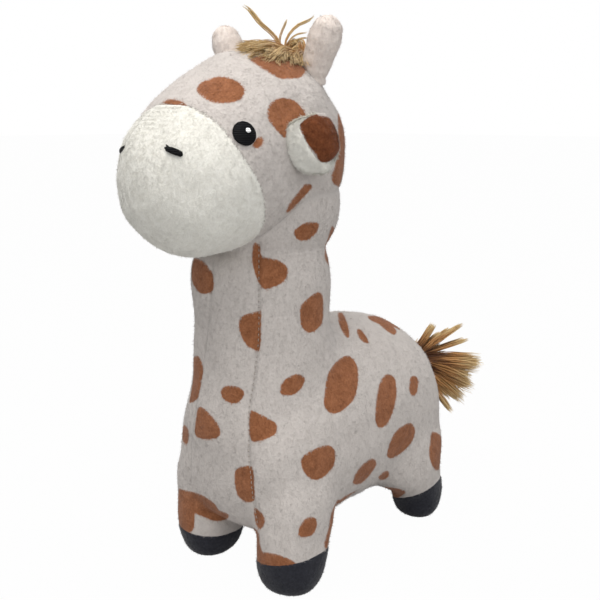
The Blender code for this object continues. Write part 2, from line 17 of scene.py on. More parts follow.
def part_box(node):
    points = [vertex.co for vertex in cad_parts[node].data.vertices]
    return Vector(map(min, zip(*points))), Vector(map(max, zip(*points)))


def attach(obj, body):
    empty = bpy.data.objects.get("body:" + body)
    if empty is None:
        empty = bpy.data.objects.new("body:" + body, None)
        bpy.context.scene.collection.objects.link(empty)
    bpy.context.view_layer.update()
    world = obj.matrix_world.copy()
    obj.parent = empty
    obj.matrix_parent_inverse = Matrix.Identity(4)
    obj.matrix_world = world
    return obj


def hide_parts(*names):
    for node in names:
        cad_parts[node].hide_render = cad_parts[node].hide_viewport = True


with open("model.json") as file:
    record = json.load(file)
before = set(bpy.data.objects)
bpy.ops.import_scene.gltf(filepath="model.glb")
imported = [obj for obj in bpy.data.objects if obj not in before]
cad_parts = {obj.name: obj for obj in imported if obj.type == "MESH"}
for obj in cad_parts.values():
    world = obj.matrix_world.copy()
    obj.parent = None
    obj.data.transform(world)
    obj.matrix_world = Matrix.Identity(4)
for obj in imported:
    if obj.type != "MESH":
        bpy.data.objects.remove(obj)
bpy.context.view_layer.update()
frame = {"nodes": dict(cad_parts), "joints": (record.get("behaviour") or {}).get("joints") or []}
MM = 0.001
Y_AXIS, Z_AXIS = Vector((0, 1, 0)), Vector((0, 0, 1))
SIDES = {"left": 1, "right": -1}
JOINTS = {joint["name"]: joint for joint in frame["joints"]}
NOD = Vector(JOINTS["head_nod"]["pos_m"])
STAND = NOD.y + 30.0 * MM

# The camera, as fitted to the hooves, the head and the seams
PHOTO_SIZE = 600
VIEW_TURN = math.radians(41.5)
VIEW_TILT = math.radians(12.46)
VIEW_DISTANCE = 0.400
VIEW_FOCAL = 833.6
VIEW_SHIFT = (10.1, 1.9)
VIEW_AIM = Vector((0, STAND, 0.12))
VIEW_BACK = Vector(
    (math.sin(VIEW_TURN) * math.cos(VIEW_TILT), -math.cos(VIEW_TURN) * math.cos(VIEW_TILT),
     math.sin(VIEW_TILT))
)
VIEW_RIGHT = Vector((math.cos(VIEW_TURN), math.sin(VIEW_TURN), 0))
VIEW_UP = VIEW_BACK.cross(VIEW_RIGHT)
VIEW_PLACE = VIEW_AIM + VIEW_BACK * VIEW_DISTANCE

# How far a point lies inside a spot or from a seam where there is none, in millimetres
NO_SPOT = -5.0
NO_SEAM = 4.0
SKIN_VOXEL = 0.9 * MM
SEAM_CREASE = 0.3 * MM
MUZZLE_CREASE = 0.25 * MM
SOLE = 0.4 * MM
# The height at which the neck's pile ends and the barrel's begins
WAIST = 108 * MM
THREAD_PITCH = 0.8 * MM
# How deep the strands of pile start in the cloth, and how far they stay from other forms and from stitches
ROOT_DEPTH = 0.15 * MM
PILE_GAP = 0.5 * MM
STITCH_GAP = 0.45 * MM

# Light: the sky's strength, the floor's own colour, and how much of the floor that the camera sees glows
WHITE = (1, 1, 1, 1)
SKY_LIGHT = 0.63
FLOOR_GREY = (0.46, 0.46, 0.46, 1)
FLOOR_GLOW = 0.98

# Rows of each stuffed form: (share of the length, width, depth, shift of the middle in depths)
BARREL = dict(
    start=(0, -63.0, 66.0), along=(0, 1, 0), deep=(0, 0, 1), size=(153.0, 84.0, 91.0), rows=(
        (0, 0, 0, -0.1), (0.02, 0.6, 0.5, -0.09), (0.072, 0.82, 0.73, -0.085), (0.15, 0.93, 0.885, -0.052),
        (0.281, 0.98, 0.974, -0.03), (0.412, 0.98, 1.003, -0.02), (0.542, 0.965, 1.015, -0.02),
        (0.673, 0.93, 1.003, -0.042), (0.771, 0.885, 0.943, -0.078), (0.856, 0.72, 0.802, -0.115),
        (0.935, 0.46, 0.54, -0.12), (0.98, 0.23, 0.29, -0.12), (1, 0, 0, -0.12),
    ),
)
NECK = dict(
    start=(0, -32.0, 45.0), along=(0, 0, 1), deep=(0, 1, 0), size=(118.0, 61.0, 62.0), rows=(
        (0, 0, 0, 0.01), (0.05, 0.8, 0.75, 0.01), (0.15, 1.28, 1.08, 0.01), (0.27, 1.15, 1.1, 0.01),
        (0.37, 1.065, 1.05, 0.01), (0.5, 0.995, 1, 0.01), (0.68, 0.97, 0.96, -0.01),
        (0.81, 0.98, 0.97, -0.02), (0.9, 0.86, 0.84, 0), (0.97, 0.45, 0.45, 0.03), (1, 0, 0, 0.03),
    ),
)
FOOT_ROWS = ((0, 0, 0, 0), (0.01, 0.5, 0.5, 0), (0.04, 0.73, 0.73, 0), (0.11, 0.88, 0.88, 0))
FRONT_LEG_ROWS = (
    *FOOT_ROWS,
    (0.19, 0.96, 0.96, 0), (0.27, 1, 1, 0), (0.41, 1, 1.08, 0.04), (0.54, 1, 1.2, 0.09),
    (0.7, 1.02, 1.26, 0.12), (0.88, 0.9, 1.05, 0.1), (1, 0, 0, 0.06),
)
REAR_LEG_ROWS = (
    *FOOT_ROWS,
    (0.19, 0.96, 0.99, -0.02), (0.27, 1, 1.11, -0.05), (0.36, 1, 1.38, -0.19), (0.48, 1.04, 1.73, -0.36),
    (0.64, 1.1, 1.9, -0.45), (0.84, 1, 1.7, -0.42), (1, 0, 0, -0.3),
)
LEG_LENGTH = 56.0
LEG_FOOT = -0.5
# Each leg: how far out and how far back it stands, its width, and its rows
LEGS = {f"front_{side}": (26.7 * sign, -43.2, 30.4, FRONT_LEG_ROWS) for side, sign in SIDES.items()}
LEGS |= {f"rear_{side}": (26.7 * sign, 55.6, 26.4, REAR_LEG_ROWS) for side, sign in SIDES.items()}
HEAD = dict(
    start=(0, 4.0, 190.0), along=(0, -1, 0), deep=(0, 0, 1), size=(102.5, 74.0, 78.0), rows=(
        (0, 0, 0, 0), (0.029, 0.419, 0.423, 0), (0.106, 0.703, 0.705, -0.006), (0.221, 0.919, 0.923, 0.032),
        (0.356, 1, 1, 0.058), (0.49, 1, 1, 0.051), (0.606, 0.978, 0.962, 0.006),
        (0.712, 0.941, 0.897, -0.038), (0.817, 0.87, 0.782, -0.09), (0.913, 0.662, 0.577, -0.103),
        (0.976, 0.351, 0.308, -0.096), (1, 0, 0, -0.096),
    ),
)
CROWN_RADIUS = 33.2
EAR_ROWS = (
    (0, 0, 0, 0), (0.04, 0.6, 0.5, 0), (0.16, 0.86, 0.82, 0.05), (0.42, 1, 1, 0.1), (0.78, 0.86, 0.9, 0.05),
    (0.95, 0.46, 0.5, 0), (1, 0, 0, 0),
)
# The stuffed foot of a horn: how far up its axis, and how wide
HORN_FOOT = ((1.6, 5.3), (4.5, 5.9), (8.0, 6.3), (12.0, 6.5))
HORN_LEAN = math.radians(24)
# The puckers where a horn is sewn on: their number, their distance from its axis and their radius
HORN_PUCKERS = 26
PUCKER_RING = 5.3
PUCKER_RADIUS = 1.0
EAR_SIDES = 48
EAR_YAW = math.radians(15)
EAR_SWEEP = math.radians(22)
EAR_SPREAD = math.radians(16)
EAR_STAND_OFF = 3.4
EAR_CURL = 2.2
# The lining's rolled edges in front and behind: how thick, and how much thicker the rear one gets at the tip
FRONT_ROLL, REAR_ROLL, TIP_ROLL = 2.1, 1.0, 1.4
# The muzzle's edge: turn from the top of the snout in degrees, and how far back the edge lies there
SNOUT_HEIGHT = 175.0
MUZZLE_EDGE = (
    (0, -82.0), (30, -80.8), (50, -77.6), (65, -73.8), (80, -67.2), (100, -61.2), (120, -57.6), (180, -54.5),
)
SQUARENESS = 2.15
# Each hoof's upper edge: its height over the foot's middle, and how it climbs to the giraffe's left and back
HOOF_EDGES = {
    "front_left": (16.2, 0.27, -0.03),
    "front_right": (12.2, 0.00, -0.11),
    "rear_left": (14.0, 0.48, 0.12),
    "rear_right": (14.0, -0.35, 0.10),
}

# Outlines of the printed spots, in the photograph's frame
BODY_SPOTS = {
    "neck_oval": ((308, 222), (318, 223), (318, 229), (315, 234), (307, 240), (297, 239), (294, 232),
                  (298, 227)),
    "throat": ((254, 243), (260, 246), (262, 256), (278, 260), (285, 265), (288, 271), (284, 281), (274, 287),
               (264, 289), (259, 283), (254, 270), (252, 256)),
    "under_chin": ((188, 257), (203, 261), (209, 268), (213, 276), (213, 290), (204, 294), (197, 290),
                   (190, 276)),
    "neck_back": ((315, 293), (321, 293), (323, 300), (323, 318), (320, 326), (313, 332), (307, 332),
                  (301, 325), (300, 309), (303, 303)),
    "seam_left": ((259, 311), (261, 313), (260, 349), (253, 349), (245, 343), (240, 332), (239, 321),
                  (244, 315)),
    "neck_small": ((297, 374), (304, 377), (304, 383), (299, 391), (292, 395), (281, 394), (281, 385),
                   (287, 378)),
    "side_big": ((345, 356), (351, 357), (357, 366), (358, 381), (356, 393), (351, 403), (340, 412),
                 (330, 413), (324, 405), (325, 390), (328, 374), (336, 362)),
    "chest_oval": ((226, 386), (235, 386), (243, 390), (244, 396), (237, 403), (228, 402), (222, 397),
                   (221, 390)),
    "chest_wedge": ((199, 407), (207, 411), (218, 424), (220, 434), (216, 438), (203, 439), (195, 434),
                    (196, 418)),
    "seam_right": ((250, 411), (258, 413), (273, 421), (277, 426), (274, 435), (259, 441), (251, 440),
                   (249, 426)),
    "side_tall": ((387, 374), (394, 377), (396, 385), (396, 399), (390, 419), (383, 427), (377, 426),
                  (375, 415), (377, 394), (381, 380)),
    "rump_small": ((412, 376), (417, 377), (418, 386), (416, 394), (411, 395), (409, 388), (410, 379)),
    "rump_tilted": ((408, 423), (413, 425), (415, 432), (411, 443), (401, 453), (392, 458), (387, 456),
                    (389, 445), (396, 431)),
    "side_low": ((322, 446), (331, 446), (335, 453), (334, 465), (328, 473), (320, 479), (311, 479),
                 (304, 472), (301, 460), (307, 453)),
    "belly_tilted": ((370, 459), (376, 461), (374, 469), (363, 482), (354, 484), (354, 477), (360, 467)),
    "belly_dot": ((385, 471), (389, 472), (388, 477), (382, 480), (378, 477)),
    "chest_low": ((240, 467), (252, 467), (254, 485), (254, 500), (247, 502), (239, 497), (235, 486),
                  (235, 472)),
    "above_hind_hoof": ((376, 487), (390, 487), (403, 490), (405, 493), (397, 498), (388, 498), (378, 492)),
    "far_leg": ((168, 486), (184, 490), (200, 494), (214, 503), (219, 510), (228, 514), (227, 519),
                (215, 521), (204, 517), (194, 513), (186, 509), (178, 511)),
    "far_shin": ((168, 497), (186, 504), (194, 511), (193, 530), (184, 532), (168, 528)),
    "chest_crescent": ((254, 509), (261, 512), (265, 519), (264, 525), (260, 529), (256, 524)),
    "leg_dot": ((309, 517), (315, 518), (317, 525), (313, 534), (306, 537), (299, 536), (299, 529),
                (303, 521)),
    "above_front_hoof": ((252, 551), (264, 552), (279, 555), (293, 561), (298, 568), (280, 576), (254, 570)),
    "inner_leg": ((250, 530), (258, 531), (260, 543), (262, 556), (252, 556)),
    "side_hip_small": ((357, 329), (361, 330), (367, 338), (368, 343), (363, 342), (358, 336)),
    "back_ridge": ((368, 316), (378, 317), (388, 322), (396, 330), (394, 335), (387, 331), (378, 324),
                   (370, 320)),
    "belly_edge": ((324, 545), (328, 530), (333, 508), (345, 496), (358, 490), (371, 485), (384, 486),
                   (384, 491), (371, 493), (350, 503), (338, 512), (333, 532), (329, 548)),
    "left_small": ((184, 425), (188, 428), (189, 437), (187, 444), (183, 441), (182, 432)),
    "shoulder_crease": ((338, 311), (343, 314), (348, 326), (349, 337), (345, 336), (339, 324)),
    "neck_edge_tall": ((196, 356), (200, 358), (203, 368), (202, 378), (200, 388), (197, 399), (188, 400),
                       (188, 362)),
    "nape_low": ((332, 226), (335, 234), (334, 256), (329, 264), (325, 259), (325, 250), (328, 238)),
    "rump_edge": ((432, 432), (441, 436), (445, 450), (444, 464), (438, 470), (433, 467), (429, 455),
                  (430, 442)),
}
HEAD_SPOTS = {
    "forehead": ((217, 77), (229, 78), (238, 82), (244, 89), (243, 96), (237, 101), (227, 103), (214, 103),
                 (202, 97), (196, 90), (202, 82), (209, 80)),
    "by_ear": ((280, 98), (291, 99), (302, 108), (306, 118), (300, 126), (291, 130), (286, 138), (280, 134),
               (270, 123), (267, 114), (269, 105), (273, 101)),
    "under_eye": ((256, 139), (261, 137), (263, 141), (260, 147), (255, 148), (252, 146)),
    "crown": ((250, 60), (259, 56), (275, 52), (292, 52), (303, 58), (306, 68), (301, 77), (291, 79),
              (282, 79), (276, 77), (267, 72), (258, 66)),
    "neck_seam": ((305, 184), (312, 185), (309, 191), (301, 200), (293, 208), (286, 213), (288, 206),
                  (294, 197), (301, 189)),
    "nape_high": ((341, 146), (346, 152), (346, 176), (341, 186), (334, 184), (331, 177), (334, 168),
                  (336, 158)),
    "muzzle_top": ((161, 104), (168, 100), (176, 100), (184, 103), (188, 109), (187, 116), (172, 116),
                   (162, 112)),
}
EAR_SPOTS = {
    "ear_patch": ((299, 114), (311, 113), (321, 116), (331, 118), (340, 128), (340, 147), (332, 165),
                  (323, 166), (315, 153), (306, 141), (300, 127)),
}
# Ovals that the photograph shows only in part or not at all: (place, look, half width, half height, turn)
BODY_OVALS = (
    ((-60, -42, 128), (1, 0.1, 0), 8, 6, 20),
    ((-60, -30, 102), (1, 0, 0), 7, 10, -10),
    ((-60, -55, 84), (1, 0.6, 0), 5, 9, 5),
    ((-60, -38, 62), (1, 0, 0), 9, 7, 15),
    ((-60, 0, 80), (1, 0, 0), 9, 14, -12),
    ((-60, 26, 62), (1, 0, 0), 7, 13, 15),
    ((-60, 4, 48), (1, 0, 0), 8, 7, 0),
    ((-60, 48, 84), (1, -0.2, 0), 6, 9, -20),
    ((-60, 64, 60), (1, -0.6, 0), 5, 8, 0),
    ((-60, 52, 40), (1, -0.1, 0), 7, 6, 35),
    ((-60, -44, 36), (1, 0.1, 0), 6, 7, 0),
    ((-60, -18, 44), (1, 0, 0), 5, 5, 0),
    ((9, 49, 140), (0, 0, -1), 10, 6, -10),
    ((-16, 30, 140), (0, 0, -1), 8, 7, 25),
    ((-12, 58, 140), (0, 0, -1), 6, 8, 0),
    ((17, 68, 140), (0, 0, -1), 5, 6, 30),
    ((-10, 6, 140), (0.1, 0, -1), 7, 8, 0),
    ((0, 30, 132), (0, -1, 0), 9, 7, 0),
    ((-10, 30, 114), (0, -1, 0), 6, 8, 0),
    ((-14, 30, 150), (0.2, -1, 0), 6, 7, 30),
    ((10, 120, 52), (0, -1, 0), 8, 6, 10),
    ((-14, 120, 70), (0, -1, 0), 7, 9, -15),
    ((30, 120, 50), (-0.45, -1, 0), 5, 11, 0),
    ((-22, 120, 34), (0.2, -1, 0), 6, 7, 0),
)
HEAD_OVALS = (
    ((60, -6, 196), (-1, -0.3, 0), 7, 13, 0),
    ((-60, -46, 216), (1, 0, -0.2), 9, 11, 20),
    ((-60, -64, 184), (1, 0.1, 0), 5, 6, 0),
    ((-60, -10, 192), (1, -0.3, 0), 7, 10, -15),
    ((-60, -30, 170), (1, 0, 0), 6, 7, 30),
    ((-8, -10, 260), (0, 0.15, -1), 8, 9, 0),
    ((14, 40, 200), (-0.1, -1, 0), 7, 9, 0),
    ((-16, 40, 186), (0.1, -1, 0), 6, 7, 0),
)
EAR_OVALS = (((-60, -50, 198), (1, 0, 0), 6, 8, 20),)

# Tips of the hair and tail in the photograph's frame. A stray lock has its half width in millimetres and its
# number of strands, and a tail lock its half width and how blunt it ends.
HAIR_ROOT_BACK = -13.5
LOCKS_PER_TIP = 6
FRINGE_TIPS = (
    (239, 49), (241, 53), (246, 55), (249, 60), (256, 59), (262, 64), (268, 61), (275, 63), (280, 58),
    (286, 62), (291, 66), (296, 62), (300, 68), (303, 60), (306, 54), (248, 47), (300, 46), (244, 50),
    (252, 54), (258, 52), (265, 58), (272, 59), (279, 64), (289, 60), (294, 56),
)
STRAY_LOCKS = {
    ((281, 54), (279, 40), (270, 31), (259, 22), (251, 10), (243, 5)): (1.3, 34),
    ((282, 54), (279, 40), (282, 31), (285, 25), (287, 19)): (0.7, 14),
    ((286, 54), (284, 42), (290, 32), (299, 24), (309, 21), (315, 15)): (0.8, 18),
    ((289, 54), (289, 40), (297, 34), (309, 32)): (0.6, 10),
    ((292, 54), (294, 42), (301, 38), (310, 38)): (0.6, 10),
}
TAIL_TIPS = {
    (434, 323): (1.8, 0.1), (441, 332): (1.6, 0.2), (453, 328): (2.0, 0.3), (463, 323): (1.0, 0.3),
    (468, 338): (1.2, 0.4), (482, 360): (3.4, 0.9), (481, 367): (3.4, 0.9), (472, 379): (3.4, 0.8),
    (473, 388): (3.2, 0.8), (464, 400): (3.2, 0.7), (451, 412): (1.6, 0.3), (452, 396): (3.2, 0.6),
    (434, 407): (2.4, 0.3), (430, 392): (2.4, 0.5),
}

# Seams that the photograph shows, in its frame
CHEST_SEAM = ((260, 243), (260, 262), (260, 290), (260, 320), (259, 348), (257, 364), (254, 388), (250, 410),
              (250, 434), (250, 458), (252, 475), (253, 488), (255, 504), (258, 520), (259, 527))
SIDE_SEAM = ((213, 262), (212, 270), (211, 300), (208, 330), (204, 360), (200, 385), (197, 402), (193, 430),
             (191, 451), (191, 488))


class Value:
    """A number, colour or direction that nodes work out over a surface. Sums of values add their nodes."""

    def __init__(self, nodes, socket):
        self.nodes, self.socket = nodes, socket

    def sum(self, operation, *terms, **options):
        return self.nodes.node("Math", dict(operation=operation, **options), *terms)

    def __add__(self, other):
        return self.sum("ADD", self, other)

    def __sub__(self, other):
        return self.sum("SUBTRACT", self, other)

    def __mul__(self, other):
        return self.sum("MULTIPLY", self, other)

    __radd__ = __add__
    __rmul__ = __mul__

    def most(self, other):
        return self.sum("MAXIMUM", self, other)

    def sine(self):
        return self.sum("SINE", self)

    def held(self):
        """The value, kept between 0 and 1."""
        return self.sum("ADD", self, 0.0, use_clamp=True)

    def rise(self, low, high):
        """0 below low, 1 above high, and a smooth step between them."""
        return self.nodes.node("MapRange", dict(interpolation_type="SMOOTHSTEP"), self, low, high, 0.0, 1.0)


class Nodes:
    """The nodes of a material or a sky."""

    def __init__(self, owner):
        owner.use_nodes = True
        self.tree = owner.node_tree

    def node(self, kind, settings=None, *values, out=0, **named):
        """A node of this kind with its settings, and values or links for its sockets. Gives one output."""
        made = self.tree.nodes.new("ShaderNode" + kind)
        for key, value in (settings or {}).items():
            setattr(made, key, value)
        for socket, value in [*enumerate(values), *named.items()]:
            self.fill(made, socket, value)
        return Value(self, made.outputs[out])

    def fill(self, node, socket, value):
        """Sets or links a socket. Its name may have _ for a space."""
        socket = node.inputs[socket.replace("_", " ") if isinstance(socket, str) else socket]
        if isinstance(value, Value):
            self.tree.links.new(value.socket, socket)
        else:
            socket.default_value = value

    def plain_rays(self):
        """1 for what the camera sees, straight, in a gloss or through something clear, and 0 for all other
        light."""
        camera, glossy, clear = (
            self.node("LightPath", out=f"Is {kind} Ray") for kind in ("Camera", "Glossy", "Transmission")
        )
        return camera.most(glossy.most(clear))


class Finish(Nodes):
    """A cloth, thread or pile finish built from nodes."""

    def __init__(self, name, **sockets):
        self.material = bpy.data.materials.new(name)
        super().__init__(self.material)
        self.shader = self.tree.nodes["Principled BSDF"]
        for socket, value in sockets.items():
            self.fill(self.shader, socket, value)

    def attribute(self, name):
        """A number that was measured on the mesh."""
        return self.node("Attribute", dict(attribute_name=name), out="Fac")

    def place(self):
        return self.node("TexCoord", out="Object")

    def noise(self, scale, detail=2.0, roughness=0.5):
        settings = dict(Vector=self.place(), Scale=scale, Detail=detail, Roughness=roughness)
        return self.node("TexNoise", out="Fac", **settings)

    def strand_tone(self, level, tip, strand):
        """How light a strand is: level at its root, more by tip at its tip, and by strand from one to
        another."""
        return level + self.attribute("tip") * tip + (self.attribute("strand") - 0.5) * strand

    def mix(self, factor, first, second):
        """A colour between two."""
        made = self.tree.nodes.new("ShaderNodeMix")
        made.data_type = "RGBA"
        for socket, value in ((0, factor), (6, first), (7, second)):
            self.fill(made, socket, value)
        return Value(self, made.outputs[2])

    def scaled(self, colour, factor):
        """The colour, lighter or darker by a factor."""
        colour = colour if isinstance(colour, Value) else colour[:3]
        return self.node("VectorMath", dict(operation="SCALE"), colour, Scale=factor)

    def colour(self, value):
        self.fill(self.shader, "Base Color", value)

    def relief(self, height, depth, strength=1.0):
        """A bump of this depth in metres, from a height between 0 and 1."""
        bump = self.node("Bump", Strength=strength, Distance=depth, Height=height, out="Normal")
        self.fill(self.shader, "Normal", bump)


def sight(across, down):
    """The camera's place and the direction in which it sees a point of the photograph."""
    right = (across - PHOTO_SIZE / 2 - VIEW_SHIFT[0]) / VIEW_FOCAL
    rise = (PHOTO_SIZE / 2 + VIEW_SHIFT[1] - down) / VIEW_FOCAL
    return VIEW_PLACE, (VIEW_RIGHT * right + VIEW_UP * rise - VIEW_BACK).normalized()


def linear(red, green, blue):
    """A colour of the photograph's scale as light."""
    return tuple(((c / 255 + 0.055) / 1.055) ** 2.4 if c > 10 else c / 3294
                 for c in (red, green, blue)) + (1.0,)


def unit(rows):
    """The rows as directions, each 1 long."""
    return rows / np.maximum(np.linalg.norm(rows, axis=1), 1e-6)[:, None]


def smoothed(table, steps):
    """Smooth steps from each row to the next. The first and the last row only say how the ends bend."""
    table = np.array(table, float)
    shares = np.arange(steps)[:, None] / steps
    runs = []
    for a, b, c, d in zip(table, table[1:], table[2:], table[3:]):
        square, cube = 2 * a - 5 * b + 4 * c - d, 3 * b - a - 3 * c + d
        runs.append((2 * b + (c - a) * shares + square * shares**2 + cube * shares**3) / 2)
    return np.vstack(runs)


def sampled(where, lengths, places):
    """The points of a path at where, from the places that it has at these lengths."""
    return np.stack([np.interp(where, lengths, places[:, axis]) for axis in range(3)], 1)


def from_run(points, start, end):
    """Each point's distance from a straight run."""
    run = end - start
    share = np.clip(((points - start) @ run) / max(run @ run, 1e-18), 0, 1)
    return np.linalg.norm(points - start - share[:, None] * run, axis=1)


def ring_faces(rings, sides, first=0):
    """The faces between rings of points."""
    return [
        (low + side, low + (side + 1) % sides, low + (side + 1) % sides + sides, low + side + sides)
        for low in range(first, first + (rings - 1) * sides, sides)
        for side in range(sides)
    ]


def stuffed(rows, start, along, deep, size, sides=96, steps=5):
    """Points and faces of a closed swelling form. Lengths are in millimetres."""
    start, along, deep = (np.array(v, float) for v in (start, along, deep))
    across = np.cross(along, deep)
    length, width, depth = size
    turn = np.arange(sides) * math.tau / sides
    x, y = (np.sign(way) * np.abs(way) ** (2 / SQUARENESS) for way in (np.cos(turn), np.sin(turn)))
    # The ends are round, as the skin passes through the axis there
    low, high = rows[1], rows[-2]
    table = [(low[0], -low[1], -low[2], low[3]), *rows, (high[0], -high[1], -high[2], high[3])]
    table = np.vstack([smoothed(table, steps), rows[-1]])
    middles = [start + along * share * length + deep * shift * depth for share, _, _, shift in table]
    points = []
    for middle, (_, wide, high, _) in zip(middles[1:-1], table[1:-1]):
        points.append(middle + across * (x * wide * width / 2)[:, None]
                      + deep * (y * high * depth / 2)[:, None])
    count = len(points)
    points = np.vstack([*points, middles[0], middles[-1]]) * MM + (0, STAND, 0)
    faces = ring_faces(count, sides)
    last = (count - 1) * sides
    for side in range(sides):
        after = (side + 1) % sides
        faces.append((after, side, count * sides))
        faces.append((last + side, last + after, count * sides + 1))
    return points, faces


def round_ball(centre, radius, sides=64):
    """Points and faces of a ball. Centre in metres, radius in millimetres."""
    shape = bmesh.new()
    bmesh.ops.create_uvsphere(shape, u_segments=sides, v_segments=sides // 2, radius=radius * MM)
    points = np.array([v.co for v in shape.verts]) + np.array(centre)
    faces = [tuple(v.index for v in f.verts) for f in shape.faces]
    shape.free()
    return points, faces


def placed(name, data):
    """A new object in the scene."""
    made = bpy.data.objects.new(name, data)
    bpy.context.scene.collection.objects.link(made)
    return made


def new_piece(name, points, faces):
    """A mesh object from points and faces."""
    mesh = bpy.data.meshes.new(name)
    mesh.from_pydata(np.asarray(points).tolist(), [], faces if isinstance(faces, list) else faces.tolist())
    mesh.polygons.foreach_set("use_smooth", [True] * len(mesh.polygons))
    return placed(name, mesh)


def fused(name, forms, voxel):
    """One closed skin round all of the forms."""
    points, faces, count = [], [], 0
    for form_points, form_faces in forms:
        points.append(form_points)
        faces += [tuple(count + corner for corner in face) for face in form_faces]
        count += len(form_points)
    made = new_piece(name, np.vstack(points), faces)
    modifier = made.modifiers.new("skin", "REMESH")
    modifier.mode = "VOXEL"
    modifier.voxel_size = voxel
    graph = bpy.context.evaluated_depsgraph_get()
    made.data = bpy.data.meshes.new_from_object(made.evaluated_get(graph))
    made.modifiers.clear()
    return made


def read(rows, key, width, kind=float):
    """A table of one property of many mesh elements."""
    values = np.empty(len(rows) * width, kind)
    rows.foreach_get(key, values)
    return values.reshape(-1, width)


def points_of(made):
    return read(made.data.vertices, "co", 3)


def normals_of(made):
    made.data.update()
    return read(made.data.vertex_normals, "vector", 3)


def faces_of(made):
    return [tuple(face.vertices) for face in made.data.polygons]


def tree_of(made):
    return BVHTree.FromPolygons(points_of(made).tolist(), faces_of(made))


def set_points(made, points):
    made.data.vertices.foreach_set("co", np.ascontiguousarray(points, dtype=np.float32).ravel())
    made.data.update()


def swell(made, by):
    """Moves the skin outwards by so many metres, which may differ from point to point."""
    set_points(made, points_of(made) + normals_of(made) * np.reshape(by, (-1, 1)))


def relax(made, rounds, share=0.5):
    """Smooths the skin. Share may differ from point to point."""
    points, edges = points_of(made), read(made.data.edges, "vertices", 2, int)
    starts, ends = np.concatenate([edges[:, 0], edges[:, 1]]), np.concatenate([edges[:, 1], edges[:, 0]])
    count = np.bincount(starts, minlength=len(points))[:, None]
    share = np.broadcast_to(np.asarray(share, float).reshape(-1, 1), (len(points), 1))
    for _ in range(rounds):
        near = np.stack([np.bincount(starts, points[ends, axis], len(points)) for axis in range(3)], 1)
        points = points + share * (near / np.maximum(count, 1) - points)
    set_points(made, points)


def measure(made, name, values):
    """Keeps a number for each point of the mesh, or one for all of them, which a finish can read."""
    layer = made.data.attributes.get(name) or made.data.attributes.new(name, "FLOAT", "POINT")
    values = np.broadcast_to(np.asarray(values, np.float32), len(made.data.vertices))
    layer.data.foreach_set("value", np.ascontiguousarray(values))


def measured(made, name):
    return read(made.data.attributes[name].data, "value", 1, np.float32)[:, 0].astype(float)


def inside_by(points, outline):
    """How far each point is inside a closed outline with smooth corners, and below 0 outside it."""
    outline = smoothed([outline[-1], *outline, *outline[:2]], 4)
    nearest = np.full(len(points), 1e9)
    crossings = np.zeros(len(points), int)
    for start, end in zip(outline, np.roll(outline, -1, axis=0)):
        run = end - start
        nearest = np.minimum(nearest, from_run(points, start, end))
        above = (start[1] > points[:, 1]) != (end[1] > points[:, 1])
        reach = run[0] * (points[:, 1] - start[1]) / (run[1] if run[1] else 1e-12) + start[0]
        crossings += above & (points[:, 0] < reach)
    return np.where(crossings % 2 == 1, nearest, -nearest)


def flat_axes(normal):
    """Two directions along a surface: across, and up as far as it can be."""
    up = Z_AXIS if abs(normal.z) < 0.8 else -Y_AXIS
    across = up.cross(normal).normalized()
    return np.stack([across, normal.cross(across)], 1)


def spot_depth(made, tree, outlines, ovals):
    """For each point, how many millimetres it lies inside a printed spot. Below 0 is coat."""
    points, normals = points_of(made), normals_of(made)
    depth = np.full(len(points), NO_SPOT)
    away = points - np.array(VIEW_PLACE)
    ahead = -(away @ np.array(VIEW_BACK))
    seen = away @ np.stack([VIEW_RIGHT, -VIEW_UP], 1) * VIEW_FOCAL / ahead[:, None]
    seen += PHOTO_SIZE / 2 + np.array(VIEW_SHIFT)
    facing = -(normals * away).sum(1) / np.linalg.norm(away, axis=1)

    def add(centre, normal, outline, shown=None):
        """Marks what lies inside an outline that is flat on the skin, and as shown where the skin faces the
        camera."""
        axes = flat_axes(normal)
        outline = (outline - centre) @ axes
        reach = np.abs(outline).max() * 1.5 + 5 * MM
        near = (np.linalg.norm(points - centre, axis=1) < reach) & (normals @ np.array(normal) > 0.1)
        found = inside_by((points[near] - centre) @ axes, outline) / MM
        if shown is not None:
            direct = inside_by(seen[near], shown) * ahead[near] / VIEW_FOCAL / MM
            found += (direct - found) * np.clip((facing[near] - 0.06) / 0.14, 0, 1)
        depth[near] = np.maximum(depth[near], found)

    for outline in outlines.values():
        rays = [sight(*corner) for corner in outline]
        found = [tree.ray_cast(*ray)[:2] for ray in rays]
        places = np.array([hit[0] for hit in found if hit[0] is not None])
        if len(places) < 3:
            continue
        centre = Vector(np.median(places, axis=0))
        near = [hit[0] is not None and (hit[0] - centre).length < 22 * MM for hit in found]
        normal = sum((hit[1] for hit, close in zip(found, near) if close), Vector()).normalized()
        centre = sum((hit[0] for hit, close in zip(found, near) if close), Vector()) / sum(near)
        corners = []
        for (origin, aim), hit, close in zip(rays, found, near):
            steep = aim.dot(normal)
            meet = hit[0] if close else origin + aim * ((centre - origin).dot(normal) / (steep or 1))
            if close or (steep < -0.05 and (meet - centre).length < 16 * MM):
                corners.append(meet)
        if len(corners) > 3:
            add(np.array(centre), normal, np.array(corners), outline)
    angles = np.arange(12) * math.tau / 12
    for place, look, wide, high, turn in ovals:
        centre, normal = tree.ray_cast(Vector(place) * MM + Y_AXIS * STAND, Vector(look).normalized())[:2]
        if centre is None:
            continue
        lean = math.radians(turn)
        x = np.cos(angles) * wide * (1 + 0.08 * np.sin(3 * angles + turn))
        y = np.sin(angles) * high * (1 + 0.06 * np.cos(2 * angles + turn))
        oval = np.stack([x * math.cos(lean) - y * math.sin(lean), x * math.sin(lean) + y * math.cos(lean)], 1)
        add(np.array(centre), normal, np.array(centre) + oval * MM @ flat_axes(normal).T)
    return depth


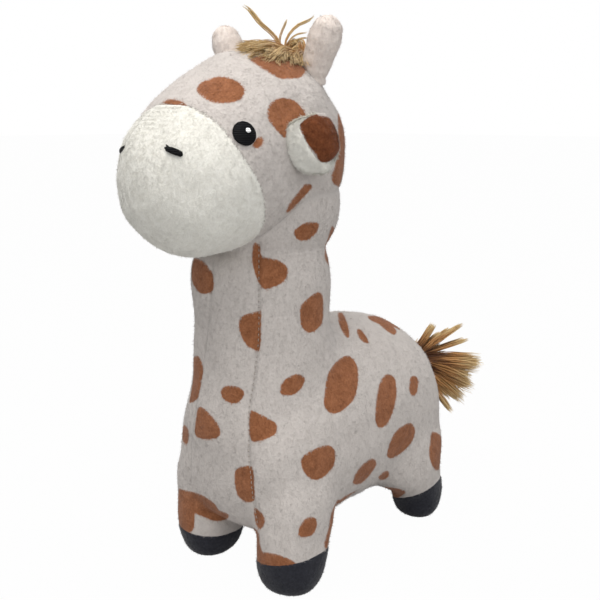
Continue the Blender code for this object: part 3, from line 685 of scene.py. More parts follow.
def path_on(tree, corners, steps=6):
    """Places and normals of a path on a skin, under points of the photograph."""
    corners = np.array(corners, float)
    found = smoothed([2 * corners[0] - corners[1], *corners, 2 * corners[-1] - corners[-2]], steps)
    found = [tree.ray_cast(*sight(*spot))[:2] for spot in found]
    return [(np.array(place), np.array(normal)) for place, normal in found if place is not None]


def from_path(points, path):
    """Each point's distance from a path, in metres."""
    return np.min([from_run(points, start, end) for start, end in zip(path, path[1:])], axis=0)


def part_of(made, name, keep):
    """A copy of the mesh that has only the faces whose points are all kept."""
    copy = placed(name, made.data.copy())
    shape = bmesh.new()
    shape.from_mesh(copy.data)
    shape.verts.ensure_lookup_table()
    bmesh.ops.delete(shape, geom=[v for v in shape.verts if not keep[v.index]], context="VERTS")
    shape.to_mesh(copy.data)
    shape.free()
    return copy


def dress(made, finish, body, nodes=()):
    """Gives a piece its finish and its body, and hides the solids that it stands for."""
    made.data.materials.clear()
    made.data.materials.append(finish.material)
    made.data.polygons.foreach_set("use_smooth", [True] * len(made.data.polygons))
    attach(made, body)
    if nodes:
        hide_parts(*nodes)
    return made


def clump_shift(roots, size, share):
    """Moves tips towards the middle of the clump that each strand belongs to."""
    cells = np.floor(roots / size).astype(np.int64)
    key = (cells[:, 0] * 73856093) ^ (cells[:, 1] * 19349663) ^ (cells[:, 2] * 83492791)
    jitter = np.stack([((key * k) % 1009) / 1009.0 for k in (7919, 104729, 1299709)], 1)
    middle = (cells + 0.25 + 0.5 * jitter) * size
    return (middle - roots) * share


def waves(places, longest, seed, count=16):
    """Soft unevenness: a height of about 1 for each place, and which way it climbs. Near places are alike."""
    random = np.random.default_rng(seed)
    ways = unit(random.normal(0, 1, (count, 3)))
    lengths = longest * random.uniform(0.4, 1.0, count)
    height, climb = np.zeros(len(places)), np.zeros((len(places), 3))
    for way, length, turn in zip(ways, lengths, random.uniform(0, math.tau, count)):
        phase = places @ way * (math.tau / length) + turn
        height += np.sin(phase)
        climb += np.cos(phase)[:, None] * way
    return height / math.sqrt(count / 2), climb / math.sqrt(count / 2)


def pile(name, skin, count, length, width, lay, rise, seed, finish, body, slot,
         clear=None, ruffle=0.26, raised=0.12):
    """Short strands of pile over a skin, each one leaf that leans along lay. Length and width are in
    millimetres.

    Ruffle says how far its light and shade vary, and raised is the share of the strands that stand up more.
    """
    random = np.random.default_rng(seed)
    skin.data.calc_loop_triangles()
    corners = read(skin.data.loop_triangles, "vertices", 3, int)
    points, normals = points_of(skin), normals_of(skin)
    a, b, c = (points[corners[:, k]] for k in range(3))
    area = np.linalg.norm(np.cross(b - a, c - a), axis=1)
    picked = corners[random.choice(len(area), count, p=area / area.sum())]
    u, v = random.random(count), random.random(count)
    over = u + v > 1
    u[over], v[over] = 1 - u[over], 1 - v[over]
    shares = np.stack([1 - u - v, u, v], 1)
    roots = (points[picked] * shares[:, :, None]).sum(1)
    normal = unit((normals[picked] * shares[:, :, None]).sum(1))
    if clear:
        kept = clear(roots, normal)
        roots, normal, picked, shares = roots[kept], normal[kept], picked[kept], shares[kept]
    count = len(roots)
    lay = np.broadcast_to(np.asarray(lay, float), (count, 3))
    flat = unit(lay - (lay * normal).sum(1)[:, None] * normal)
    flat += np.cross(normal, flat) * waves(roots, 9 * MM, seed)[0][:, None] * 0.5
    rise = (np.where(random.random(count) < raised, rise + 0.35, rise)[:, None]
            * random.uniform(0.6, 1.2, (count, 1)))
    aim = normal * rise + flat * (1 - rise)
    aim = unit(aim + np.cross(normal, aim) * random.normal(0, 0.45, (count, 1)))
    reach = length * MM * random.uniform(0.65, 1.25, (count, 1))
    tips = roots + aim * reach + clump_shift(roots, 1.5 * MM, 0.10)
    side = unit(np.cross(aim, normal + random.normal(0, 0.12, (count, 3))))
    half = side * (width * MM / 2) * random.uniform(0.7, 1.3, (count, 1))
    base = roots - normal * ROOT_DEPTH
    strands = np.stack([base - half, base + half, tips], 1)
    facing = np.cross(strands[:, 1] - strands[:, 0], strands[:, 2] - strands[:, 0])
    wrong = (facing * normal).sum(1) < 0
    strands[wrong] = strands[wrong][:, [1, 0, 2]]
    made = new_piece(name, strands.reshape(-1, 3), np.arange(count * 3).reshape(-1, 3))
    for key in ("spot", "seam"):
        measure(made, key, np.repeat((measured(skin, key)[picked] * shares).sum(1), 3))
    measure(made, "tip", np.tile([0.0, 0.0, 1.0], count))
    measure(made, "strand", np.repeat(random.random(count), 3))
    shade = normal + random.normal(0, 0.07, (count, 3)) + waves(roots, 3.2 * MM, seed + 1)[1] * ruffle
    made.data.normals_split_custom_set_from_vertices(unit(np.repeat(shade, 3, axis=0)).tolist())
    return dress(made, finish, body)


COAT = linear(215, 208, 203)
COAT_SHADE = linear(193, 187, 182)
# Painted light: the horns' cloth is the coat's own, made lighter for the light that falls on their sides
HORN_COAT_LIT = linear(246, 236, 228)
HORN_COAT_LIT_DARK = linear(224, 214, 207)
SPOT = linear(168, 112, 78)
SPOT_SHADE = linear(134, 84, 54)
# The ear's printed patch: darker than the body's spots as painted shade, for the shade that the ear hangs in
EAR_SPOT = linear(144, 86, 54)
EAR_SPOT_SHADE = linear(108, 60, 36)
CREAM = linear(247, 246, 239)
CREAM_SHADE = linear(236, 234, 226)
CHARCOAL = linear(44, 45, 52)
TUFT_PALE = linear(206, 180, 130)
TUFT_GOLD = linear(182, 132, 78)
TUFT_DARK = linear(104, 62, 32)


def mottle(fine, broad, fine_share, broad_share):
    """A share between 0 and 1 that differs from place to place."""
    return ((fine - 0.5) * fine_share + (broad - 0.5) * broad_share + 0.5).held()


def coat_finish(name, strand=False, light=SPOT, dark=SPOT_SHADE, plain=COAT, shade=COAT_SHADE):
    """Pale pink-beige pile with printed brown spots, and painted shade along the seams."""
    made = Finish(name, Roughness=0.95, Sheen_Weight=0.15, Sheen_Roughness=0.5, Specular_IOR_Level=0.12)
    fine, broad = made.noise(1100.0, 3.0, 0.65), made.noise(260.0, 3.0, 0.6)
    coat = made.mix(mottle(fine, broad, 1.3, 0.8), shade, plain)
    printed = made.mix(mottle(fine, broad, 2.0, 1.4), dark, light)
    edge = made.attribute("spot") + (fine - 0.5) * 1.1
    coat = made.mix(edge.rise(-0.35, 0.35), coat, printed)
    # Painted shade: the coat is darker within about 1.3 mm of a seam, for the shade in the seam's crease and
    # where the head meets the neck.
    out_of_seam_shade = made.attribute("seam").rise(0.0, 1.3)
    if strand:
        coat = made.scaled(coat, made.strand_tone(0.95, 0.08, 0.16) * (0.86 + out_of_seam_shade * 0.14))
    else:
        coat = made.scaled(coat, 0.84 + out_of_seam_shade * 0.14)
        made.relief(fine * 0.5 + made.noise(420.0, 2.0) * 0.5, 0.6 * MM, 0.6)
    made.colour(coat)
    return made


def cream_finish(name, strand=False):
    """Fluffier cream pile of the muzzle and the ear linings."""
    made = Finish(name, Roughness=0.97, Sheen_Weight=0.2, Sheen_Roughness=0.5, Specular_IOR_Level=0.12)
    fine, broad = made.noise(900.0, 3.0, 0.6), made.noise(240.0, 3.0, 0.6)
    cream = made.mix(mottle(fine, broad, 1.2, 1.0), CREAM_SHADE, CREAM)
    made.colour(made.scaled(cream, made.strand_tone(0.97, 0.06, 0.10) if strand else 0.93))
    if not strand:
        made.relief(made.noise(380.0, 3.0, 0.6), 0.9 * MM, 0.7)
    return made


def velour_finish(name, strand=False):
    """Charcoal velour of the hooves."""
    made = Finish(name, Roughness=0.9, Sheen_Weight=0.25, Sheen_Roughness=0.4, Specular_IOR_Level=0.15)
    dark = made.scaled(CHARCOAL, made.noise(800.0, 3.0, 0.6) * 1.2 + 0.4)
    made.colour(made.scaled(dark, made.strand_tone(0.8, 0.5, 0.4)) if strand else dark)
    if not strand:
        made.relief(made.noise(600.0, 3.0, 0.6), 0.5 * MM, 0.6)
    return made


def tuft_finish(name):
    """Long golden pile, brown at its roots."""
    made = Finish(name, Roughness=0.6, Sheen_Weight=0.2, Specular_IOR_Level=0.3)
    along = made.strand_tone(0.0, 1.0, 0.35)
    golden = made.mix(along.rise(0.05, 0.45), TUFT_DARK, TUFT_GOLD)
    golden = made.mix(along.rise(0.45, 0.9), golden, TUFT_PALE)
    made.colour(made.scaled(golden, made.strand_tone(1.0, 0.0, 0.4)))
    return made


def thread_finish(name, colour):
    """Satin stitch: fine threads side by side, with painted sheen along each thread's top."""
    made = Finish(name, Roughness=0.5, Specular_IOR_Level=0.07)
    height = made.node("SeparateXYZ", None, made.place(), out="Z")
    ridge = (height * (math.tau / THREAD_PITCH) + made.noise(300.0) * 3.0).sine()
    # Painted sheen: the colour is lighter along the top of each thread; the noise is the threads' own uneven
    # tone.
    made.colour(made.scaled(colour, made.noise(2500.0, 2.0) * 0.8 + 0.6 + ridge * 0.4))
    made.relief(ridge * 0.5 + 0.5, 0.12 * MM)
    return made


coat = coat_finish("coat_cloth")
coat_strands = coat_finish("coat_pile", strand=True)
cream = cream_finish("cream_cloth")
cream_strands = cream_finish("cream_pile", strand=True)
velour = velour_finish("hoof_velour")
velour_strands = velour_finish("hoof_velour_pile", strand=True)
tuft_pile = tuft_finish("golden_pile")
black_thread = thread_finish("black_satin_thread", linear(13, 13, 15))
white_thread = thread_finish("white_satin_thread", linear(245, 245, 245))
seam_thread = thread_finish("seam_thread", linear(182, 172, 163))
# The ear's finishes carry the painted shade of its printed patch
ear_coat = coat_finish("ear_cloth_print_shaded", False, EAR_SPOT, EAR_SPOT_SHADE)
ear_strands_print_shaded = coat_finish("ear_pile_print_shaded", True, EAR_SPOT, EAR_SPOT_SHADE)
# The horns' finishes hold painted light: the coat's cloth, lighter
horn_coat_lit = coat_finish("horn_cloth_lit", False, plain=HORN_COAT_LIT, shade=HORN_COAT_LIT_DARK)
horn_strands_lit = coat_finish("horn_pile_lit", True, plain=HORN_COAT_LIT, shade=HORN_COAT_LIT_DARK)


def make_body():
    """One coat round barrel, neck and legs with its seams pulled in, and the path of the chest's seam."""
    forms = [stuffed(**BARREL), stuffed(**NECK), round_ball(NOD, CROWN_RADIUS)]
    for out, stance, width, rows in LEGS.values():
        forms.append(stuffed(rows, (out, stance, LEG_FOOT), (0, 0, 1), (0, 1, 0), (LEG_LENGTH, width, width)))
    skin = fused("body_coat", forms, SKIN_VOXEL)
    relax(skin, 26)
    # The cloth is taut from the legs' roots to the barrel's middle, and at the nape
    height = points_of(skin)[:, 2] / MM
    low = np.clip((height - 26) / 12, 0, 1) * np.clip((92 - height) / 14, 0, 1)
    relax(skin, 120, 0.5 * low)
    points = points_of(skin) / MM
    nape = np.exp(-(((points[:, 2] - 103) / 13) ** 2)) * np.clip((points[:, 1] - STAND / MM + 34) / 16, 0, 1)
    relax(skin, 240, 0.5 * nape)
    uneven, _ = waves(points_of(skin), 34 * MM, 5)
    swell(skin, (0.25 + 0.25 * uneven + 0.35 * low) * MM)
    points = points_of(skin)
    points[:, 2] = np.maximum(points[:, 2], SOLE)
    set_points(skin, points)
    tree, normals = tree_of(skin), normals_of(skin)
    measure(skin, "spot", spot_depth(skin, tree, BODY_SPOTS, BODY_OVALS))
    seam = np.full(len(points), NO_SEAM)
    paths = [path_on(tree, corners) for corners in (CHEST_SEAM, SIDE_SEAM)]
    for path in paths:
        away = from_path(points, [place for place, _ in path]) / MM
        points = points - normals * (SEAM_CREASE * np.exp(-((away / 0.9) ** 2)))[:, None]
        seam = np.minimum(seam, away)
    set_points(skin, points)
    measure(skin, "seam", seam)
    return skin, paths[0]


def make_head():
    """The head's skin, how many millimetres each of its points lies behind the muzzle's edge, and its
    tree."""
    skin = fused("head_form", [stuffed(**HEAD)], SKIN_VOXEL)
    relax(skin, 10)
    uneven, _ = waves(points_of(skin), 30 * MM, 6)
    swell(skin, 0.2 * MM * uneven)
    tree = tree_of(skin)
    measure(skin, "spot", spot_depth(skin, tree, HEAD_SPOTS, HEAD_OVALS))
    measure(skin, "seam", NO_SEAM)
    points = points_of(skin)
    turn = np.degrees(np.arctan2(np.abs(points[:, 0]), points[:, 2] - SNOUT_HEIGHT * MM))
    back = np.interp(turn, *zip(*MUZZLE_EDGE)) * MM + STAND
    slope = np.sqrt(np.clip(1 - normals_of(skin)[:, 1] ** 2, 0.15, 1))
    beyond = (points[:, 1] - back) / MM / slope
    puffed = 1 - np.clip(beyond / 2 + 1.2, 0, 1)
    swell(skin, MUZZLE_CREASE * (puffed - np.exp(-(beyond**2))))
    return skin, beyond, tree


body_skin, chest_path = make_body()
head_skin, beyond_muzzle, head_tree = make_head()
body_points = points_of(body_skin)
body_tree = tree_of(body_skin)
for made, tree in ((body_skin, head_tree), (head_skin, body_tree)):
    # The line where the head's skin and the neck's skin touch is a seam, and the coat near it gets painted
    # shade
    points, seam = points_of(made), measured(made, "seam")
    for index in np.nonzero(points[:, 2] > 140 * MM)[0]:
        away = tree.find_nearest(points[index], 6 * MM)[3]
        seam[index] = seam[index] if away is None else min(seam[index], away / MM)
    measure(made, "seam", seam)


def over_hoof(points, corner):
    """How far points lie above the upper edge of a hoof."""
    out, stance = LEGS[corner][:2]
    height, leftward, backward = HOOF_EDGES[corner]
    edge = (height * MM + leftward * (points[:, 0] - out * MM)
            + backward * (points[:, 1] - STAND - stance * MM))
    return points[:, 2] - edge


def above_hooves(points):
    """How far points lie above the upper edge of the hoof that is nearest."""
    above = np.zeros(len(points))
    for corner, (out, stance, _, _) in LEGS.items():
        here = (points[:, 0] * out > 0) & ((points[:, 1] - STAND - 5 * MM) * stance > 0)
        above[here] = over_hoof(points[here], corner)
    return above


above_hoof = above_hooves(body_points)
coat_body = part_of(body_skin, "body_cover", above_hoof > -1.0 * MM)
body_nodes = ("torso_cover", "neck_cover", "body_filling", *(f"leg_cover_{corner}" for corner in LEGS))
dress(coat_body, coat, "body", body_nodes)
head_cover = part_of(head_skin, "head_cover_cloth", beyond_muzzle > -0.9)
dress(head_cover, coat, "head", ("head_cover", "head_filling"))
muzzle_cover = part_of(head_skin, "muzzle_cover_cloth", beyond_muzzle < 0.9)
dress(muzzle_cover, cream, "head", ("muzzle_cover",))
for corner, (out, stance, _, _) in LEGS.items():
    from_foot = np.abs(body_points[:, :2] - (out * MM, STAND + stance * MM)).max(1)
    cap = part_of(body_skin, f"hoof_cap_{corner}", (from_foot < 24 * MM) & (above_hoof < 0.9 * MM))
    # The cap stands proud of the coat and turns in at its edge
    over = np.clip(over_hoof(points_of(cap), corner) / MM, -1, 1)
    swell(cap, np.interp(over, (-0.6, 0.6), (0.35, -0.5)) * MM)
    dress(cap, velour, "body", (f"hoof_{corner}",))
    pile(f"hoof_pile_{corner}", cap, 9000, 0.9, 0.22, (0, 0, -1), 0.25, 31, velour_strands, "body", "hoof",
         clear=lambda roots, normal: (roots[:, 2] > 0.8 * MM) & (above_hooves(roots) < -0.2 * MM))


def clear_of(tree, roots, depth, low=0.0, high=1.0):
    """Which strands, between two heights, stay out of the other form by this depth."""
    kept = np.ones(len(roots), bool)
    for index in np.nonzero((roots[:, 2] > low) & (roots[:, 2] < high))[0]:
        place, facing, _, _ = tree.find_nearest(roots[index])
        kept[index] = (Vector(roots[index]) - place).dot(facing) > depth
    return kept


def outside_head(roots):
    """Which of the neck's strands stay out of the head."""
    return clear_of(head_tree, roots, PILE_GAP, low=120 * MM)


def outside_body(roots, normal):
    """Which of the head's strands stay out of the neck and off the eyes and nostrils."""
    kept = clear_of(body_tree, roots, PILE_GAP, high=200 * MM)
    for node in ("eye_left", "eye_right", "nostril_left"):
        tree = tree_of(frame["nodes"][node])
        low, high = (np.array(corner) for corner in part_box(node))
        for index in np.nonzero(((roots > low - MM) & (roots < high + MM)).all(1))[0]:
            kept[index] &= tree.find_nearest(roots[index])[3] > STITCH_GAP
    return kept


coat_pile = dict(length=1.15, width=0.24, rise=0.20, finish=coat_strands, slot="coat")
pile("neck_pile", coat_body, 300000, lay=(0, 0.1, -1), seed=11, body="body", **coat_pile,
     clear=lambda roots, normal: (roots[:, 2] > WAIST) & outside_head(roots))
pile("barrel_pile", coat_body, 290000, lay=(0, 0.35, -1), seed=17, body="body", **coat_pile,
     clear=lambda roots, normal: (roots[:, 2] <= WAIST) & (above_hooves(roots) > 0))
pile("head_pile", head_cover, 120000, lay=(0, 0.9, -0.5), seed=12, body="head",
     **coat_pile, clear=outside_body)
pile("muzzle_pile", muzzle_cover, 130000, 1.3, 0.27, (0, 0.3, -1), 0.10, 13,
     cream_strands, "head", "cream_pile",
     clear=outside_body, ruffle=0.06, raised=0.04)


def cad_form(node):
    """Points and faces of a solid of the frame."""
    solid = frame["nodes"][node]
    return points_of(solid), faces_of(solid)


def make_horn(side, sign):
    """A stuffed horn, pinched where it is sewn to the head."""
    horn = f"horn_{side}"
    foot = Vector(JOINTS[f"horn_tip_{side}"]["pos_m"])
    lean = Matrix.Rotation(HORN_LEAN * sign, 3, "Y")
    forms = [cad_form(horn)]
    forms += [round_ball(foot + lean @ Z_AXIS * rise * MM, radius, 24) for rise, radius in HORN_FOOT]
    for index in range(HORN_PUCKERS):
        turn = index * math.tau / HORN_PUCKERS
        pucker = lean @ Vector((math.cos(turn) * PUCKER_RING, math.sin(turn) * PUCKER_RING, -0.3)) * MM
        forms.append(round_ball(foot + pucker, PUCKER_RADIUS, 12))
    made = fused(f"horn_cover_{side}", forms, 0.6 * MM)
    relax(made, 6)
    measure(made, "spot", NO_SPOT)
    measure(made, "seam", NO_SEAM)
    # The horn's cloth and pile carry painted light, lighter than the coat
    dress(made, horn_coat_lit, horn, (horn,))
    pile(f"horn_pile_lit_{side}", made, 12000, 1.1, 0.24, (0, 0.2, -1), 0.20, 14, horn_strands_lit, horn, "coat")


def ear_leaf(side, sign, length, width, thick, inward, forward, drop):
    """Points and faces of a puffed leaf that hangs from the ear's root and curls towards the head."""
    root = (Vector(JOINTS[f"ear_lift_{side}"]["pos_m"]) - Y_AXIS * STAND) / MM
    sweep = Matrix.Rotation(EAR_SWEEP, 3, "X")
    back = Matrix.Rotation(-sign * EAR_YAW, 3, "Z") @ sweep @ Y_AXIS
    down = Matrix.Rotation(-sign * EAR_SPREAD, 3, back) @ sweep @ -Z_AXIS
    outward = (down - back * down.dot(back)).cross(back).normalized() * sign
    down = back.cross(outward).normalized() * sign
    start = root + outward * (EAR_STAND_OFF - inward) - back * forward + down * drop
    points, faces = stuffed(EAR_ROWS, start, down, outward, (length, width, thick), sides=EAR_SIDES, steps=8)
    aside = (points / MM - np.array(start) - np.array(Y_AXIS) * STAND / MM) @ np.array(back)
    return points - np.array(outward) * (EAR_CURL * (2 * aside / width) ** 2 * MM)[:, None], faces


def make_ear(side, sign):
    """Two cloths: a coat leaf with a patch outside, and a fluffy cream lining that shows round its edge."""
    body = f"ear_{side}"
    leaf = ear_leaf(side, sign, length=18.5, width=17.5, thick=6.0, inward=-0.6, forward=-3.0, drop=-0.6)
    forms = [ear_leaf(side, sign, length=19.6, width=20.6, thick=7.0, inward=1.6, forward=-0.9, drop=-0.4)]
    rings = forms[0][0][:-2].reshape(-1, EAR_SIDES, 3)
    front, rear = sorted((rings[:, 0], rings[:, EAR_SIDES // 2]), key=lambda edge: edge[:, 1].mean())
    middle = (front + rear) / 2
    shares = np.linspace(0, 1, len(rings))
    front_roll = FRONT_ROLL * np.minimum(1, 0.6 + 2 * shares)
    rear_roll = REAR_ROLL + TIP_ROLL * np.maximum(0, shares - 0.6) / 0.4
    for edge, roll in ((front, front_roll), (rear, rear_roll)):
        for place, inner, thick in zip(edge, middle, roll):
            reach = max(np.linalg.norm(place - inner), 1e-6)
            forms.append(round_ball(place + (inner - place) * min(1, thick * 0.6 * MM / reach), thick, 12))
    ear = fused(f"ear_cover_{side}", [leaf], 0.5 * MM)
    lining = fused(f"ear_lining_cloth_{side}", forms, 0.5 * MM)
    for made in (ear, lining):
        relax(made, 5)
        measure(made, "spot", NO_SPOT)
        measure(made, "seam", NO_SEAM)
    leaf_tree, lining_tree = tree_of(ear), tree_of(lining)
    spots, ovals = (EAR_SPOTS, ()) if side == "left" else ({}, EAR_OVALS)
    measure(ear, "spot", spot_depth(ear, leaf_tree, spots, ovals))
    dress(ear, ear_coat, body, (body,))
    dress(lining, cream, body, (f"ear_lining_{side}",))
    pile(f"ear_pile_{side}", ear, 16000, 1.1, 0.22, (0, 0.2, -1), 0.22, 15, ear_strands_print_shaded, body, "coat",
         clear=lambda roots, normal: clear_of(lining_tree, roots, 0))
    pile(f"ear_lining_pile_{side}", lining, 34000, 2.0, 0.26, (0, -0.5, -1), 0.20, 16, cream_strands, body,
         "cream_pile", ruffle=0.24, clear=lambda roots, normal: clear_of(leaf_tree, roots, 0))


for side, sign in SIDES.items():
    make_horn(side, sign)
    make_ear(side, sign)


def threads(paths, radius, sides=6):
    """Points and faces of round threads along paths, thinner at their ends. Radius in metres."""
    points, faces, first = [], [], 0
    turn = np.arange(sides)[None, :, None] * math.tau / sides
    for path in paths:
        path = np.array(path, float)
        run = np.gradient(path, axis=0)
        side = unit(np.cross(run, (0.31, 0.52, 0.79)))
        rise = np.cross(side, unit(run))
        thick = radius * np.sin(np.linspace(0.3, math.pi - 0.3, len(path))) ** 0.4
        rings = (path[:, None]
                 + (side[:, None] * np.cos(turn) + rise[:, None] * np.sin(turn)) * thick[:, None, None])
        points.append(rings.reshape(-1, 3))
        last = first + (len(path) - 1) * sides
        faces += ring_faces(len(path), sides, first)
        faces += [tuple(range(first + sides - 1, first - 1, -1)), tuple(range(last, last + sides))]
        first += len(path) * sides
    return np.vstack(points), faces


def stitch_row(name, path, gap, length, radius, aside):
    """A row of short stitches beside a path of places and normals."""
    places, facing = (np.array(column) for column in zip(*path))
    along = np.concatenate([[0], np.cumsum(np.linalg.norm(np.diff(places, axis=0), axis=1))])
    lift = np.array([-0.25, 0.30, 0.42, 0.30, -0.25])[:, None] * MM
    rows = []
    for start in np.arange(0.5 * MM, along[-1] - length, gap):
        steps = np.linspace(start, start + length, 5)
        middle, out = sampled(steps, along, places), sampled(steps, along, facing)
        side = unit(np.cross(np.gradient(middle, axis=0), out))
        rows.append(middle + out * lift + side * aside)
    dress(new_piece(name, *threads(rows, radius)), seam_thread, "body")


def thread_patch(name, node, finish, size=1.0, ends=()):
    """A stitched patch as its solid has it. With loose ends, it has three raised threads across it too."""
    forms = [cad_form(node)]
    points = forms[0][0]
    middle = points.mean(0)
    ways = np.linalg.svd(points - middle)[2]
    ways[2] *= np.sign(ways[2] @ (middle - np.array(NOD)))
    half = np.abs((points - middle) @ ways.T).max(0)
    if ends:
        steps = np.linspace(-1, 1, 9)[:, None]
        for shift, share in ((-0.55, 0.7), (0.0, 1.0), (0.55, 0.85)):
            run = middle + ways[0] * (steps * share + (1 - share) * 0.6) * half[0] + ways[1] * shift * half[1]
            run = run + ways[2] * (half[2] + 0.35 * MM - 0.8 * MM * steps**4)
            forms.append(threads([run], 0.42 * half[1], 10))
        forms.append(threads(ends, 0.36 * MM, 8))
    made = fused(name, forms, 0.2 * MM)
    relax(made, 8)
    swell(made, 0.08 * MM)
    points = points_of(made)
    set_points(made, points.mean(0) + (points - points.mean(0)) * size)
    dress(made, finish, "head", (node,))


def loose_ends():
    """Two short thread ends that stand up at the outer end of the left nostril."""
    low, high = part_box("nostril_left")
    start = Vector((low[0] + 1.5 * MM, low[1] + 1.2 * MM, high[2] - 0.9 * MM))
    back = ((0, 0.2, -0.3), (-0.3, -0.8, 0.9), (-0.9, -1.0, 2.0))
    ahead = ((0.4, 0.2, -0.3), (0.5, -1.0, 0.7), (0.1, -1.3, 1.6))
    return [[start + Vector(step) * MM for step in steps] for steps in (back, ahead)]


for side in SIDES:
    ends = loose_ends() if side == "left" else ()
    thread_patch(f"eye_stitch_{side}", f"eye_{side}", black_thread)
    thread_patch(f"eye_glint_stitch_{side}", f"eye_glint_{side}", white_thread, 0.84)
    thread_patch(f"nostril_stitch_{side}", f"nostril_{side}", black_thread, 1.0, ends)
stitch_row("chest_stitches", chest_path, gap=2.4 * MM, length=1.3 * MM, radius=0.14 * MM, aside=0.45 * MM)


def tuft(name, locks, body, node, seed, width, steps=7):
    """A tuft of long pile.

    Each lock is the points of its path, its half width, its half thickness, how many strands it has, and how
    far its roots have gone from the dark tone to the pale one.
    """
    random = np.random.default_rng(seed)
    points, tip, strand = [], [], []
    shares = np.linspace(0, 1, steps + 1)
    spread = (0.5 + 1.1 * shares - 0.95 * shares**2)[:, None]
    thin = np.where(shares < 0.9, 1.0, 0.35)[:, None]
    for path, half_width, half_thick, count, tone in locks:
        middle = sampled(shares, np.linspace(0, 1, len(path)), np.array(path, float))
        run = unit(np.gradient(middle, axis=0))
        side = unit(np.cross(run, np.array(VIEW_BACK) + (0.01, 0.02, 0.03)))
        rise = np.cross(side, run)
        for _ in range(count):
            angle, off = random.uniform(0, math.tau), math.sqrt(random.random())
            aside, above = off * math.cos(angle) * half_width, off * math.sin(angle) * half_thick
            wander = np.cumsum(random.normal(0, 0.05 * half_width, (steps + 1, 3)), axis=0)
            along = np.linspace(0, random.uniform(0.80, 1.0), steps + 1)
            curve = sampled(along, shares, middle + (side * aside + rise * above) * spread + wander)
            turn = random.normal(0, 1, 3)
            across = unit(np.cross(run, turn / np.linalg.norm(turn)))
            half = across * (width / 2) * random.uniform(0.7, 1.3) * thin
            points.append(np.stack([curve - half, curve + half], 1).reshape(-1, 3))
            tip.append(np.repeat(along * (1 - tone) + tone, 2))
            strand.append(np.full(2 * (steps + 1), random.random()))
    low = 2 * ((steps + 1) * np.arange(len(points))[:, None] + np.arange(steps)).reshape(-1, 1)
    made = new_piece(name, np.vstack(points), low + np.array([0, 1, 3, 2]))
    measure(made, "tip", np.concatenate(tip))
    measure(made, "strand", np.concatenate(strand))
    dress(made, tuft_pile, body, (node,))


def at_depth_of(place, across, down):
    """The point of the photograph's pixel that is as far from the camera as place."""
    origin, aim = sight(across, down)
    return origin + aim * ((place - origin).dot(VIEW_BACK) / aim.dot(VIEW_BACK))


def arch(start, end, lift, steps=7):
    """A path that rises from start and falls to end."""
    top = start.lerp(end, 0.35) + Z_AXIS * lift
    shares = [index / steps for index in range(steps + 1)]
    return [start * (1 - share) ** 2 + top * (2 * share * (1 - share)) + end * share**2 for share in shares]


def make_hair():
    """The crown's mop: locks that rise from the crown and fall over it on all sides, and a few that stand
    up."""
    crown = Vector((0, HAIR_ROOT_BACK * MM + STAND, 300 * MM))
    root = head_tree.ray_cast(crown, -Z_AXIS)[0]
    random = np.random.default_rng(20)
    locks = []
    for tip in FRINGE_TIPS:
        end = head_tree.ray_cast(*sight(*tip))[0] or at_depth_of(root, *tip)
        for _ in range(LOCKS_PER_TIP):
            start = root + Vector((random.uniform(-9, 9), random.uniform(-2, 5), -1)) * MM
            there = end + Vector(random.normal(0, 1.3 * MM, 3)) + VIEW_BACK * MM
            locks.append((arch(start, there, random.uniform(8, 17) * MM), 2.2 * MM, 1.0 * MM, 46, 0.12))
    # The locks that fall to the sides and the back
    for index in range(16):
        turn = math.radians(20 + 14 * index)
        start = root + Vector((random.uniform(-7, 7), 0, -1)) * MM
        out = Vector((math.cos(turn) * 1.1, math.sin(turn) * 0.8, 0)) * random.uniform(9, 14) * MM
        end = head_tree.find_nearest(start + out)[0] + Z_AXIS * MM
        locks.append((arch(start, end, random.uniform(6, 15) * MM), 2.0 * MM, 1.2 * MM, 50, 0.12))
    for stray, (half_width, count) in STRAY_LOCKS.items():
        path = [at_depth_of(root, *pixel) for pixel in stray]
        locks.append((path, half_width * MM, 0.35 * MM, count, 0.5))
    tuft("hair_strands", locks, "head", "hair_tuft", 21, 0.26 * MM)


def make_tail():
    """A tuft of thick locks round the tail's root, dark at its middle."""
    root = Vector(JOINTS["tail_swing"]["pos_m"])
    start = root + Y_AXIS * 1.5 * MM
    random = np.random.default_rng(23)
    locks = []
    for tip, (half_width, blunt) in TAIL_TIPS.items():
        away = at_depth_of(start - VIEW_BACK * 6 * MM, *tip) - start
        for depth in (-7, -3.5, 0, 3.5, 7):
            there = start + away * random.uniform(0.95, 1.0) + VIEW_BACK * (depth * MM)
            middle = start + away * 0.5 + VIEW_BACK * ((depth + 3) * 0.8 * MM) + Z_AXIS * (0.8 * MM)
            here = start + Vector(random.normal(0, 1.2 * MM, 3))
            locks.append(((here, middle, there), half_width * (0.8 + 0.6 * blunt) * MM, 1.8 * MM, 66, -0.35))
    # The short dark locks at the tuft's middle
    for index in range(14):
        turn = index * math.tau / 14
        out = Vector((math.cos(turn) * 0.8, 0.7, math.sin(turn) * 0.8)) + VIEW_RIGHT * 0.4
        path = (root - Y_AXIS * 1.5 * MM, start, start + out * 8 * MM, start + out * 14 * MM)
        locks.append((path, 2.8 * MM, 2.0 * MM, 70, -0.6))
    tuft("tail_strands", locks, "tail", "tail_tuft", 22, 0.28 * MM)


make_hair()
make_tail()


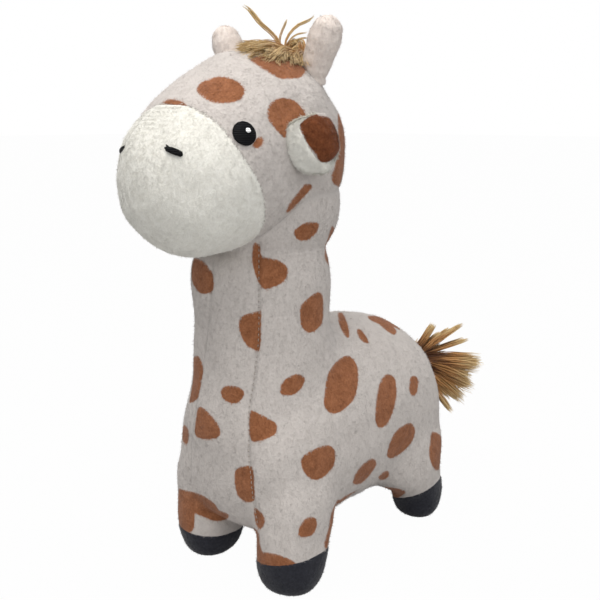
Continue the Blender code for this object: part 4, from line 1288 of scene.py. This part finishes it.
def make_lamp(name, place, size, energy, colour):
    """A round lamp that shines on the giraffe."""
    data = bpy.data.lights.new(name, "AREA")
    data.shape = "DISK"
    data.size = size
    data.energy = energy
    data.color = colour
    made = placed(name, data)
    made.location = place
    made.rotation_euler = (VIEW_AIM - Vector(place)).to_track_quat("-Z", "Y").to_euler()


def make_studio():
    """Plain white floor and sky, one broad lamp above and one at the side, and the camera."""
    scene = bpy.context.scene
    scene.view_settings.view_transform = "Standard"
    scene.world = bpy.data.worlds.new("studio")
    sky = Nodes(scene.world)
    background = sky.tree.nodes["Background"]
    level = sky.node("MapRange", Value=sky.plain_rays(), To_Min=SKY_LIGHT, To_Max=1.0)
    sky.fill(background, "Color", WHITE)
    sky.fill(background, "Strength", level)

    floor = new_piece("floor", [(-9, -9, 0), (9, -9, 0), (9, 9, 0), (-9, 9, 0)], [(0, 1, 2, 3)])
    paper = bpy.data.materials.new("white_paper")
    nodes = Nodes(paper)
    base = nodes.tree.nodes["Principled BSDF"]
    nodes.fill(base, "Base Color", FLOOR_GREY)
    nodes.fill(base, "Roughness", 1.0)
    glow = nodes.node("Emission", Strength=1.0)
    shown = nodes.node("MixShader", None, nodes.plain_rays() * FLOOR_GLOW,
                       Value(nodes, base.outputs[0]), glow)
    nodes.fill(nodes.tree.nodes["Material Output"], "Surface", shown)
    floor.data.materials.append(paper)

    make_lamp("top_lamp", (0.06, -0.34, 1.0), 0.7, 6.1, (1.0, 0.97, 0.94))
    make_lamp("side_lamp", (0.90, -0.40, 0.55), 0.6, 2.0, (1.0, 1.0, 1.0))

    data = bpy.data.cameras.new("photo_camera")
    data.sensor_width = 36.0
    data.lens = VIEW_FOCAL / PHOTO_SIZE * data.sensor_width
    data.shift_x = -VIEW_SHIFT[0] / PHOTO_SIZE
    data.shift_y = VIEW_SHIFT[1] / PHOTO_SIZE
    data.clip_start = 0.01
    camera = placed("photo_camera", data)
    camera.location = VIEW_PLACE
    camera.rotation_euler = Matrix((VIEW_RIGHT, VIEW_UP, VIEW_BACK)).transposed().to_euler()
    scene.camera = camera


make_studio()
for made in (body_skin, head_skin):
    bpy.data.objects.remove(made)
